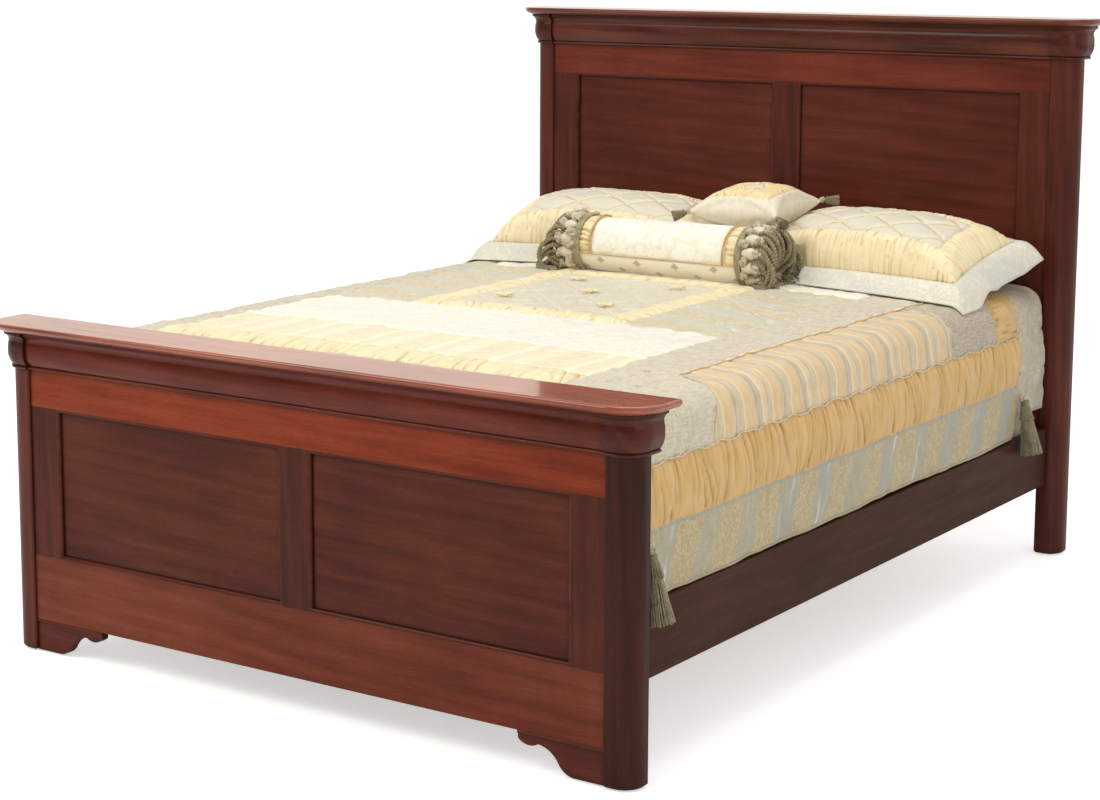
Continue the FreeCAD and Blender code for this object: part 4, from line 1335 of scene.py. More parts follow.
@dataclass
class Quilt:
    """The pieced quilt, draped over the mattress."""

    side: float = 0.7734
    top: float = 0.719
    round: float = 0.058
    foot_round: float = 0.045
    hem_x: float = 0.785
    swell_x: float = 0.7895
    hem: float = 0.346
    corner_hem: float = 0.402
    corner_from: float = 0.843
    tuck_low: float = 0.52
    head_y: float = 1.0300
    foot_y: float = -1.0126
    gold_top: float = 0.612
    gold_low: float = 0.486
    piping: float = 0.006
    cord_x: float = 0.640
    cord_band: float = 0.012
    strip_x: float = 0.485
    square_right: float = 0.215
    square_left: float = -0.400
    left_x: float = -0.655
    left_strip_x: float = -0.742
    square_band: float = 0.075
    square_low: float = -0.150
    square_high: float = 0.545
    white_low: float = -0.490
    stripe_low: float = -0.705
    gold_foot_low: float = -0.815
    patch_foot: float = -0.700
    patch_lean: float = 0.16
    patch_head: float = 0.470
    linen_head: float = 0.735
    flap_from: float = 0.872
    foot_tuck: float = 2.08         # length from the head where the cloth below the foot starts
    foot_tuck_half: float = 0.7
    diamond: float = 0.16
    gather: float = 0.024           # distance between creases of the ruched bands
    foot_gather: float = 0.03
    rose_x: float = 0.15
    rose_y: float = 0.17
    ground_step: float = 0.0075
    fine_across: float = 0.0036
    fine_down: float = 0.0033
    usual_down: float = 0.0042
    drop_corner: float = 0.028      # rounding of the hem's upright corner at the foot
    noise: Ripple = field(default_factory=lambda: Ripple(11))

    def section(self) -> tuple[Floats, Floats, Floats]:
        """Half of the quilt's section over the mattress.

        Returns:
            Length from the middle, and X and Z there.
        """
        turn = np.linspace(0, math.pi / 2, 24)
        centre_x, centre_z = self.side - self.round, self.top - self.round
        arc_x, arc_z = centre_x + self.round * np.sin(turn), centre_z + self.round * np.cos(turn)
        z = np.linspace(centre_z, self.hem, 60)[1:]
        waist = self.hem + (centre_z - self.hem) * 0.45
        fit = np.polyfit((centre_z, waist, self.hem), (self.side, self.swell_x, self.hem_x), 2)
        x = np.concatenate([[0.0], arc_x, np.polyval(fit, z)])
        z = np.concatenate([[self.top], arc_z, z])
        length = np.concatenate([[0.0], np.cumsum(np.hypot(np.diff(x), np.diff(z)))])
        return length, x, z

    def length_at_height(self, z: float) -> float:
        """How far down the drop a height is.

        Args:
            z: the height.

        Returns:
            Length from the middle of the quilt.
        """
        length, _, heights = self.section()
        return float(np.interp(-z, -heights[1:], length[1:]))

    def lines(self, marks: list[float], step: float, fine: list[tuple[float, float, float]]) -> Floats:
        """Grid lines that hit every seam.

        Args:
            marks: places that get a line.
            step: usual distance between lines.
            fine: ranges with their own closer step.

        Returns:
            The lines in order.
        """
        marks = sorted(set(marks))
        out = [marks[0]]
        for a, b in zip(marks[:-1], marks[1:]):
            near = min([step] + [s for low, high, s in fine if a >= low - 1e-9 and b <= high + 1e-9])
            out.extend(np.linspace(a, b, max(1, int(math.ceil((b - a) / near))) + 1)[1:])
        return np.array(out)

    def build(self) -> None:
        """Makes the quilt with its relief, its piping and its rosettes."""
        length, table_x, table_z = self.section()
        seam, pipe = self.length_at_height(self.gold_top), self.length_at_height(self.gold_low)
        end = length[-1]
        flat = self.top - self.foot_round - self.tuck_low
        curve = self.foot_round * math.pi / 2
        t_round = self.head_y - (self.foot_y + self.foot_round)
        across = self.lines(
            [-end, -pipe - self.piping, -pipe, -seam, self.left_strip_x, self.left_x, self.square_left,
             self.square_left + self.square_band, self.square_right - self.square_band, self.square_right,
             self.strip_x, self.cord_x - self.cord_band, self.cord_x, seam, pipe, pipe + self.piping, end],
            self.ground_step, [(self.left_x, self.strip_x, self.fine_across)])
        marks_y = [self.head_y, self.flap_from, self.corner_from, self.linen_head, self.patch_head,
                   self.square_high, self.square_high - self.square_band, self.square_low + self.square_band,
                   self.square_low, self.white_low, self.stripe_low, self.gold_foot_low,
                   self.foot_y + self.foot_round]
        down = self.lines([self.head_y - y for y in marks_y] + [t_round + curve, t_round + curve + flat],
                          self.usual_down, [(0.0, t_round, self.fine_down)])
        s, t = np.meshgrid(across, down)
        way, reach = np.sign(s), np.abs(s)
        x, z = np.interp(reach, length, table_x), np.interp(reach, length, table_z)
        y = self.head_y - np.minimum(t, t_round)
        # rounded foot corner: over the foot edge on top, round the upright corner on the drops
        turned = np.clip((t - t_round) / curve, 0, 1)
        r = np.where(z > self.top - self.round, self.foot_round,
                     np.interp(z, (self.hem, self.top - self.round), (self.drop_corner, self.foot_round)))
        run = turned * (self.foot_round - r + r * math.pi / 2)
        angle = np.clip((run - (self.foot_round - r)) / r, 0, math.pi / 2)
        ahead = np.minimum(run, self.foot_round - r) + r * np.sin(angle)
        tilt = np.clip((reach - (self.side - self.round)) / (self.round * math.pi / 2), 0, 1) * math.pi / 2
        sink = r * (1 - np.cos(angle))
        x = x - sink * np.sin(tilt)
        z = z - sink * np.cos(tilt)
        z = z - np.clip(t - t_round - curve, 0, None)
        y = y - ahead
        p = np.stack([way * x, y, z], -1)
        du, dv = np.gradient(p, axis=1), np.gradient(p, axis=0)
        n = np.cross(dv, du)
        n /= np.linalg.norm(n, axis=-1)[..., None] + 1e-12
        n = np.where((n[..., :1] * way[..., None] * (reach > 0.7)[..., None] + n[..., 2:] < 0), -n, n)
        # the mattress crowns a little and the drops swing in soft waves
        p[..., 2] += crowned(s, y) * (reach < self.side)
        below = eased(reach, self.side, end)
        sway = self.noise.at(t * 4.1 + 20, reach * 2.0 + way * 7) - 0.5
        p += n * (below * sway * 0.007)[..., None]
        p[..., 2] += below * (self.noise.at(t * 9.0 + 90, way * 3) - 0.5) * 0.006
        # shorter drop beside the head end
        short = eased(y, self.corner_from - 0.012, self.corner_from + 0.012) * eased(reach, seam, end)
        p[..., 2] += short * (self.corner_hem - self.hem)
        zones, relief, fold, band = self.pieced(s, t, y, seam, pipe)
        p += n * relief[..., None]
        cloth = np.stack([s, t, np.zeros_like(s)], -1)
        face_s, face_t = (across[1:] + across[:-1]) / 2, (down[1:] + down[:-1]) / 2
        kept = ~((np.abs(face_s)[None, :] > self.side - self.round) & (face_t[:, None] > t_round + curve))
        mesh = grid_mesh(p, kept=kept, zones=zones, cloth=cloth, band=band, fold=1 - fold)
        finishes: list[Finish] = [LINEN, PALE_LINEN, STRIPE, PALE_STRIPE, GOLD, PALE_GOLD, LACE, SAGE,
                                  JACQUARD, FLORAL, PIPING, STRIP_LINEN, TOP_JACQUARD]
        piece = shown("quilt_top", mesh, finishes)
        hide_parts("quilt")
        seams = self.piped_seams(p, across, down, seam, pipe)
        roses = self.rosettes(p, across, down)

    def pieced(self, s: Floats, t: Floats, y: Floats, seam: float,
               pipe: float) -> tuple[Floats, Floats, Floats, Floats]:
        """Cloth, relief and creases of every point.

        Args:
            s: length across, from the middle.
            t: length along, from the head.
            y: place along the bed.
            seam: where the ruched drop band starts.
            pipe: where it ends.

        Returns:
            Material number of each face, height at each point, depth of crease, and place on the ruched
            band.
        """
        reach = np.abs(s)
        cs, cy = (s[1:, 1:] + s[:-1, :-1]) / 2, (y[1:, 1:] + y[:-1, :-1]) / 2
        cr = np.abs(cs)
        ct = (t[1:, 1:] + t[:-1, :-1]) / 2
        inner = (cs > self.left_x) & (cs < self.strip_x)
        middle = (cs > self.square_left) & (cs < self.square_right)
        square = middle & (cy < self.square_high) & (cy > self.square_low)
        edge = np.minimum(np.minimum(cs - self.square_left, self.square_right - cs),
                          np.minimum(self.square_high - cy, cy - self.square_low))
        outer = (cs > self.cord_x) | (cs < self.left_strip_x)
        foot = self.patch_foot + self.patch_lean * (1 - (cr - self.strip_x) / (seam - self.strip_x))
        zone = np.full(cs.shape, Patch.SAGE.value)
        # each rule is laid over the ones before it
        for where, cloth in (
                (inner & ~middle, Patch.TOP_JACQUARD),
                (inner & (cy > self.square_high), Patch.LACE),
                (square & (edge < self.square_band), Patch.PALE_GOLD),
                (inner & (cy < self.square_low), Patch.LACE),
                (inner & (cy < self.white_low), Patch.PALE_STRIPE),
                (inner & (cy < self.stripe_low), Patch.PALE_GOLD),
                (inner & (cy < self.gold_foot_low), Patch.PALE_LINEN),
                ((cs > self.strip_x) & (cs < self.cord_x), Patch.STRIP_LINEN),
                ((cs < self.left_x) & (cs > self.left_strip_x), Patch.STRIP_LINEN),
                ((cs > self.cord_x - self.cord_band) & (cs < self.cord_x), Patch.PALE_GOLD),
                (outer, Patch.STRIPE),
                (outer & (cy > self.patch_head), Patch.LINEN),
                (outer & (cy > self.linen_head), Patch.GOLD),
                ((cy < foot) & ((cs > self.strip_x) | (cs < self.left_x)), Patch.PALE_LINEN),
                ((cr > seam) & (cr < pipe), Patch.GOLD),
                (cr > pipe, Patch.JACQUARD),
                ((cr > pipe) & (cr < pipe + self.piping), Patch.PIPING),
                ((cy > self.flap_from) & outer, Patch.FLORAL),
                ((cy > self.corner_from) & (cr > pipe), Patch.FLORAL),
                ((ct > self.foot_tuck) & (cr < self.foot_tuck_half), Patch.PALE_LINEN)):
            zone[where] = cloth.value
        # relief: pads between seams, gathers on the ruched bands
        relief, crease = np.zeros_like(s), np.zeros_like(s)
        band = np.stack([t, s, np.zeros_like(s)], -1)
        puff = self.noise.at(s * 26, t * 26) * 0.6 + self.noise.at(s * 60 + 9, t * 60) * 0.4
        relief += (puff - 0.5) * 0.0065

        def puckered(along: Floats, away: Floats) -> Floats:
            """Small wrinkles that start at a seam.

            Args:
                along: distance along the seam.
                away: distance from it.

            Returns:
                Their height.
            """
            wrinkle = self.noise.at(along / 0.016 + 31, away / 0.05 + 5) - 0.5
            return 0.0055 * wrinkle * np.exp(-np.abs(away) / 0.028) - 0.0035 * np.exp(-(away / 0.006) ** 2)

        for line in (self.left_strip_x, self.left_x, self.strip_x, self.cord_x - self.cord_band / 2,
                     seam, -seam, pipe, -pipe):
            relief += puckered(t, s - line)
        rows = [(line, self.left_x, self.strip_x) for line in (
            self.square_high, self.square_low, self.white_low, self.stripe_low, self.gold_foot_low)]
        rows += [(self.patch_head, self.cord_x, seam), (self.linen_head, self.cord_x, seam),
                 (self.flap_from, self.cord_x, 1.2)]
        for line, low, high in rows:
            inside = eased(s, low - 0.004, low + 0.004) * (1 - eased(s, high - 0.004, high + 0.004))
            relief += puckered(s, y - line) * inside
        # diamonds sewn through the jacquard columns and the sage square
        for way in (1, -1):
            diagonal = np.abs(((s + way * y) / self.diamond) % 1.0 - 0.5)
            inside = (s > self.left_x) & (s < self.strip_x) & (y < self.square_high) & (y > self.square_low)
            relief -= 0.003 * np.exp(-(diagonal * self.diamond / 0.006) ** 2) * inside

        def ruched(along: Floats, start: Floats, width: float, mask: Floats, pitch: float,
                   deep: float) -> None:
            """Adds gathers to one band.

            Args:
                along: distance along the band.
                start: distance from its first seam.
                width: the band's width.
                mask: how far each point belongs to it.
                pitch: usual distance between creases.
                deep: depth of a crease.
            """
            share = np.clip(start / width, 0, 1)
            hold = 0.62 + 0.38 * np.abs(2 * share - 1)
            depth = self.noise.gathers(along, start, pitch, width * 1.2) * hold * mask
            relief[:] += mask * 4 * share * (1 - share) * deep * 0.9 - depth * deep
            np.maximum(crease, depth, out=crease)
            on = mask > 0.5
            for axis, value in enumerate((along, start)):
                band[on, axis] = np.broadcast_to(value, s.shape)[on]

        for way in (1, -1):
            inside = ((s * way > seam) & (s * way < pipe) & (y < self.flap_from)).astype(float)
            ruched(t + way, s * way - seam, pipe - seam, inside, self.gather, 0.008)
            inside = (s * way > self.cord_x) & (s * way < seam)
            inside &= (y > self.linen_head) & (y < self.flap_from)
            ruched(s * way, y - self.linen_head, self.flap_from - self.linen_head, inside.astype(float),
                   self.gather, 0.006)
        edges = (s - self.square_left, self.square_right - s, self.square_high - y, y - self.square_low)
        nearest = np.argmin(np.stack(edges), axis=0)
        for i, gap in enumerate(edges):
            inside = ((nearest == i) & (gap > 0) & (gap < self.square_band)).astype(float)
            ruched((y if i < 2 else s) + i, gap, self.square_band, inside, self.gather, 0.0055)
        inside = ((s > self.left_x) & (s < self.strip_x) & (y < self.stripe_low) & (y > self.gold_foot_low))
        ruched(s + 3, y - self.gold_foot_low, self.stripe_low - self.gold_foot_low, inside.astype(float),
               self.foot_gather, 0.006)
        pipes = np.exp(-((reach - pipe - self.piping / 2) / 0.004) ** 2)
        relief += pipes * (0.0035 + 0.0012 * np.sin(t * 2 * math.pi / 0.017))
        return zone, relief, crease, band

    def line_on(self, p: Floats, across: Floats, down: Floats, spots: list[tuple[float, float]],
                lift: float) -> Floats:
        """A line on the quilt's surface.

        Args:
            p: the quilt's points.
            across: its grid lines across.
            down: its grid lines along.
            spots: length across and Y of each corner of the line.
            lift: height above the surface.

        Returns:
            The line's points.
        """
        corners = np.array(spots)
        run = np.concatenate([[0.0], np.cumsum(np.linalg.norm(np.diff(corners, axis=0), axis=1))])
        steps = np.linspace(0, run[-1], max(4, int(run[-1] / 0.006)))
        s, y = np.interp(steps, run, corners[:, 0]), np.interp(steps, run, corners[:, 1])
        wander = 0.0016 * np.sin(steps * 61) + 0.0012 * np.sin(steps * 143 + 1)
        s, y = (s + wander, y) if abs(corners[-1, 1] - corners[0, 1]) > 0.3 else (s, y + wander)
        col = np.clip(np.searchsorted(across, s), 1, len(across) - 1)
        row = np.clip(np.searchsorted(down, self.head_y - y), 1, len(down) - 1)
        points = (p[row, col] + p[row - 1, col] + p[row, col - 1] + p[row - 1, col - 1]) / 4
        window = np.ones(5) / 5
        wide = np.pad(points, ((2, 2), (0, 0)), mode="edge")
        points = np.stack([np.convolve(wide[:, i], window, "valid") for i in range(3)], 1)
        sideways = np.clip((np.abs(s) - self.side + self.round) / self.round, 0, 1)
        points[:, 0] += np.sign(s) * lift * sideways
        points[:, 2] += lift * (1 - sideways)
        return points

    def piped_seams(self, p: Floats, across: Floats, down: Floats, seam: float,
                    pipe: float) -> bpy.types.Object:
        """Scalloped piping, gold cords and the hem's roll, on both sides.

        Args:
            p: the quilt's points.
            across: its grid lines across.
            down: its grid lines along.
            seam: where the ruched drop band starts.
            pipe: where it ends.

        Returns:
            The piece.
        """
        meshes = []
        foot = self.foot_y + self.foot_round
        for way in (1, -1):
            start = self.cord_x if way > 0 else -self.left_strip_x
            lean = self.patch_foot + self.patch_lean * (1 - (start - self.strip_x) / (seam - self.strip_x))
            scalloped = [[(way * start, lean), (way * seam, self.patch_foot)],
                         [(way * start, self.patch_head), (way * seam, self.patch_head)],
                         [(way * seam, foot + 0.01), (way * seam, self.flap_from)]]
            for spots in scalloped:
                line = self.line_on(p, across, down, spots, 0.0015)
                size = 0.0019 + 0.0008 * np.sin(np.arange(len(line)) * 1.7)
                meshes.append(tube(line, size, 6, 0))
            hem = self.line_on(p, across, down, [(way * (across[-1] - 0.002), foot),
                                                 (way * (across[-1] - 0.002), self.head_y - 0.004)], 0.0)
            meshes.append(tube(hem, 0.0036, 8, 2))
            ends = [(way * start, lean), (way * start, self.head_y - 0.01)]
            cord = self.line_on(p, across, down, ends, 0.002)
            meshes.append(tube(cord, 0.0024, 6, 1))
            edge = self.line_on(p, across, down, [(way * seam, self.flap_from),
                                                  (way * (pipe + 0.004), self.flap_from)], 0.0015)
            meshes.append(tube(edge, 0.0022, 6, 0))
        return shown("quilt_piping", joined_mesh(meshes), [SCALLOPS, SEAM_CORD, HEM])

    def rosettes(self, p: Floats, across: Floats, down: Floats) -> bpy.types.Object:
        """Small twisted satin rosettes on the sage square.

        Args:
            p: the quilt's points.
            across: its grid lines across.
            down: its grid lines along.

        Returns:
            The piece.
        """
        meshes = []
        middle_s = (self.square_left + self.square_right) / 2
        middle_y = (self.square_low + self.square_high) / 2
        for i, (a, b) in enumerate(((0, 0), (1, 1), (-1, 1), (1, -1), (-1, -1))):
            at_s, at_y = middle_s + a * self.rose_x, middle_y + b * self.rose_y
            spot = self.line_on(p, across, down, [(at_s, at_y), (at_s + 0.01, at_y)], 0.004)[0]
            meshes.extend(rosette(spot, Matrix.Identity(3), 0.022, i))
        return shown("quilt_rosettes", joined_mesh(meshes), [PALE_GOLD])


def rosette(spot: Floats, lie: Matrix, size: float, seed: int) -> list[bpy.types.Mesh]:
    """A flower of five twisted satin loops round a knot.

    Args:
        spot: its middle.
        lie: turns it onto the surface.
        size: length of a loop.
        seed: turns the loops.

    Returns:
        Its meshes.
    """
    turned = np.array(lie)
    meshes = []
    for i in range(5):
        angle = i * 2 * math.pi / 5 + seed * 0.7
        turn = np.linspace(0, 2 * math.pi, 14)
        out = size * (0.5 - 0.5 * np.cos(turn))
        wide = size * 0.28 * np.sin(turn)
        x = out * math.cos(angle) - wide * math.sin(angle)
        y = out * math.sin(angle) + wide * math.cos(angle)
        z = 0.002 + 0.25 * out * (1 - out / size)
        meshes.append(tube(spot + np.stack([x, y, z], 1) @ turned.T, size * 0.11, 6))
    knot = np.linspace(0, 2 * math.pi, 12)
    ring = np.stack([np.cos(knot) * size * 0.12, np.sin(knot) * size * 0.12,
                     np.full_like(knot, size * 0.14)], 1)
    meshes.append(tube(spot + ring @ turned.T, size * 0.13, 6))
    return meshes


# ---------------------------------------------------------------- cushions
@dataclass
class Cushion:
    """A crowned cushion with a ruched border and a diamond-quilted centre."""

    name: str
    node: str
    slot: str
    finish: PiecedFinish
    centre: tuple[float, float, float]
    length: float
    depth: float
    height: float
    tilt: float
    turn: float
    mirror: int = 1
    flange: float = 0.0
    draw: float = 0.018
    seed: int = 1
    low_share: float = 0.42
    cell: float = 0.009
    most: float = 0.009
    steps: int = 33
    fullness: float = 2.4
    pressure: float = 4.0

    def lie(self) -> Matrix:
        """The cushion's own directions, as a matrix."""
        turned = Matrix.Rotation(math.radians(-self.turn * self.mirror), 3, "Z")
        return turned @ Matrix.Rotation(math.radians(self.tilt), 3, "X")

    def outward(self, u: Floats, v: Floats) -> tuple[Floats, Floats]:
        """The seam's outline, drawn in between its corners.

        Args:
            u: from -1 to 1 across.
            v: from -1 to 1 from front to rear.

        Returns:
            X and Y in the cushion's own directions.
        """
        x = u * (self.length / 2 - self.draw * (1 - v * v))
        y = v * (self.depth / 2 - self.draw * (1 - u * u))
        return x, y

    def plump(self) -> bpy.types.Mesh:
        """The settled body in its own directions."""
        places = np.sin(np.linspace(-math.pi / 2, math.pi / 2, self.steps))
        u, v = np.meshgrid(places, places)
        x, y = self.outward(u, v)
        rise = ((1 - np.abs(u) ** self.fullness) * (1 - np.abs(v) ** self.fullness)) ** 0.5 * self.height
        rise = np.maximum(rise, self.cell * 1.3)
        high = np.stack([x, y, rise * (1 - self.low_share)], -1)
        low = np.stack([x, y, -rise * self.low_share], -1)
        index = np.arange(self.steps ** 2).reshape(self.steps, self.steps)
        cells = np.stack([index[:-1, :-1], index[:-1, 1:], index[1:, 1:], index[1:, :-1]], -1).reshape(-1, 4)
        points = np.concatenate([high.reshape(-1, 3), low.reshape(-1, 3)])
        rim = np.concatenate([index[0, :-1], index[:-1, -1], index[-1, :0:-1], index[:0:-1, 0]])
        following, under = np.roll(rim, -1), self.steps ** 2
        wall = np.stack([rim, rim + under, following + under, following], -1)
        faces = np.concatenate([cells, cells[:, ::-1] + under, wall])
        return settled(points, faces.tolist(), self.cell, self.pressure, self.most)

    def build(self, room: "Rests") -> bpy.types.Object:
        """Makes the cushion, its flange, its cords and its rosettes.

        Args:
            room: what it lies on and stays clear of.

        Returns:
            The cushion's body.
        """
        mesh = self.plump()
        local, way = coordinates(mesh), normals(mesh)
        noise = Ripple(self.seed)
        inward = np.minimum(self.length / 2 - np.abs(local[:, 0]), self.depth / 2 - np.abs(local[:, 1]))
        inward = inward * (way[:, 2] > -0.2)
        band = self.finish.band_width
        start = inward - self.finish.outer_width
        on_band = ((start > 0) & (start < band)).astype(float)
        sideways = (self.length / 2 - np.abs(local[:, 0])) < (self.depth / 2 - np.abs(local[:, 1]))
        along = np.where(sideways, local[:, 1] + 5, local[:, 0]) + (way[:, 0] > 0) * 2
        share = np.clip(start / band, 0, 1)
        depth = noise.gathers(along, start, 0.019, band * 1.1) * on_band * (0.4 + 0.6 * np.abs(2 * share - 1))
        relief = on_band * 4 * share * (1 - share) * 0.004 - depth * 0.005
        relief -= 0.004 * np.exp(-((start - band) / 0.005) ** 2) + 0.003 * np.exp(-(start / 0.005) ** 2)
        inside = start > band
        for side in (DIAMOND_SLOPE, -DIAMOND_SLOPE):
            phase = (local[:, 0] + side * local[:, 1]) / self.finish.diamond + 0.5
            near = np.abs(phase % 1.0 - 0.5) * self.finish.diamond * 0.55
            relief -= inside * 0.0035 * np.exp(-(near / 0.007) ** 2)
        relief += (noise.at(local[:, 0] * 30, local[:, 1] * 30) - 0.5) * 0.004
        local = local + way * relief[:, None]
        placed = room.cleared(self.placed(local))
        mesh.vertices.foreach_set("co", placed.astype(np.float32).ravel())
        stored(mesh, "cloth", np.stack([local[:, 0], local[:, 1], np.zeros(len(local))], 1))
        stored(mesh, "fold", 1 - depth)
        stored(mesh, "band", np.stack([along, start, np.zeros(len(local))], 1))
        stored(mesh, "inward", inward)
        piece = shown(self.name, mesh, [self.finish])
        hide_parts(self.node)
        if self.flange:
            self.hang_flange(room, noise)
        self.sew_roses()
        return piece

    def placed(self, local: Floats) -> Floats:
        """Brings points from the cushion's own directions to their place.

        Args:
            local: the points.

        Returns:
            The same points on the bed.
        """
        return local @ np.array(self.lie()).T + np.array(self.centre)

    def hang_flange(self, room: "Rests", noise: Ripple) -> None:
        """The flat flange round the body, drooping onto what is below.

        Args:
            room: what it lies on.
            noise: for its waves.
        """
        turn = np.linspace(0, 8, 480, endpoint=False)
        side = turn.astype(int) // 2
        step = (turn - 2 * side) - 1
        u = np.choose(side, [step, np.ones_like(step), -step, -np.ones_like(step)])
        v = np.choose(side, [-np.ones_like(step), step, np.ones_like(step), -step])
        rows = []
        shares = np.linspace(-0.12, 1.0, 16)
        for share in shares:
            x, y = self.outward(u, v)
            x = x + np.where(np.abs(u) >= 0.999, u, u * np.abs(u) ** 6) * self.flange * share
            y = y + np.where(np.abs(v) >= 0.999, v, v * np.abs(v) ** 6) * self.flange * share
            wave = (noise.at(turn * 3.0, np.full_like(turn, 3.0)) - 0.5) * 0.022 * max(share, 0) ** 1.3
            rows.append(self.placed(np.stack([x, y, wave], 1)))
        points = np.array(rows)
        droop = np.clip(shares, 0, 1)[:, None] ** 1.5
        front = eased(-points[..., 1], -0.82, -0.62)
        points[..., 2] -= droop * (0.012 + 0.035 * front + 0.055 * eased(np.abs(points[..., 0]), 0.69, 0.80))
        points = room.cleared(points.reshape(-1, 3)).reshape(points.shape)
        cloth = np.stack([np.broadcast_to(turn * 0.25, points.shape[:2]),
                          np.broadcast_to(shares[:, None] * self.flange, points.shape[:2]),
                          np.zeros(points.shape[:2])], -1)
        mesh = grid_mesh(points, closed=True, cloth=cloth, fold=np.ones(points.shape[:2]))
        piece = shown(f"{self.name}_flange", mesh, [FLANGE])
        thick = piece.modifiers.new("two_layers", "SOLIDIFY")
        thick.thickness, thick.offset = 0.004, 0.0
        x, y = self.length + 2 * self.flange, self.depth + 2 * self.flange

    def sew_roses(self) -> None:
        """Rosettes at crossings of the cords."""
        body = bpy.data.objects[self.name].data
        spots, local = coordinates(body), np.zeros((len(body.vertices), 3), np.float32)
        body.attributes["cloth"].data.foreach_get("vector", local.reshape(-1))
        border = self.finish.outer_width + self.finish.band_width
        inside = self.depth / 2 - border
        meshes = []
        step = self.finish.diamond / 2
        across = int(self.length / 2 / step)
        ways = normals(body)
        for i in range(-across, across + 1):
            for j in (-1, 0, 1):
                x, y = i * step, j * step / DIAMOND_SLOPE
                if (i + j) % 2 or abs(y) > inside - 0.015 or (i + j * 3) % 4:
                    continue
                if abs(x) > self.length / 2 - border - 0.02:
                    continue
                far = np.hypot(local[:, 0] - x, local[:, 1] - y) + (ways[:, 2] < 0.3)
                near = int(np.argmin(far))
                meshes.extend(rosette(spots[near], self.lie(), 0.019, i + j))
        if meshes:
            shown(f"{self.name}_rosettes", joined_mesh(meshes), [PALE_GOLD])


FLANGE = JacquardFinish("grey_flange_satin", "ddd8c6", "ece7d6", "c9cac0", repeat=0.15, striped=0.6,
                         line="cbc4b0")
SHAM_CLOTH = PiecedFinish("sham_pieced_satin", "cfc8b5", "f6e5ba", "c49a52", "ded7c2", "d3b470",
                          outer_width=0.0, band_width=0.082, diamond=0.15)
ACCENT_CLOTH = PiecedFinish("accent_pieced_satin", "ebe1ca", "f3dba4", "c0964e", "dcd4bf", "d3b470",
                            outer_width=0.05, band_width=0.055, diamond=0.11)


@dataclass
class Rests:
    """What the bedding lies on: the quilt's top, its shoulders, and the bolster in front."""

    top: float = 0.7215
    side: float = 0.7734
    round: float = 0.058
    lift: float = 0.0035
    roll_y: float = 0.0
    roll_z: float = 0.0
    roll_radius: float = 0.0
    roll_reach: tuple[float, float] = (0.0, 0.0)
    head_face: float = 1.0485

    def ground(self, x: Floats, y: Floats) -> Floats:
        """Height of the quilt.

        Args:
            x: place across the bed.
            y: place along it.

        Returns:
            The height, falling away over the shoulders.
        """
        out = np.clip(np.abs(x) - (self.side - self.round), 0, self.round)
        fall = self.round - np.sqrt(np.maximum(self.round ** 2 - out ** 2, 0))
        past = np.clip(np.abs(x) - self.side, 0, None) * 2.0
        return self.top + crowned(x, y) - fall - past

    def cleared(self, points: Floats) -> Floats:
        """Moves points out of the quilt, the bolster and the headboard.

        Args:
            points: places on the bed.

        Returns:
            The same points, clear of them.
        """
        made = points.copy()
        floor = self.ground(made[:, 0], made[:, 1]) + self.lift
        made[:, 2] = np.maximum(made[:, 2], floor)
        if self.roll_radius:
            off_y, off_z = made[:, 1] - self.roll_y, made[:, 2] - self.roll_z
            far = np.hypot(off_y, off_z)
            ends = (made[:, 0] > self.roll_reach[0]) & (made[:, 0] < self.roll_reach[1])
            push = np.where((far < self.roll_radius) & ends, self.roll_radius - far, 0.0)
            made[:, 1] += push
        made[:, 1] = np.minimum(made[:, 1], self.head_face - 0.002)
        return made


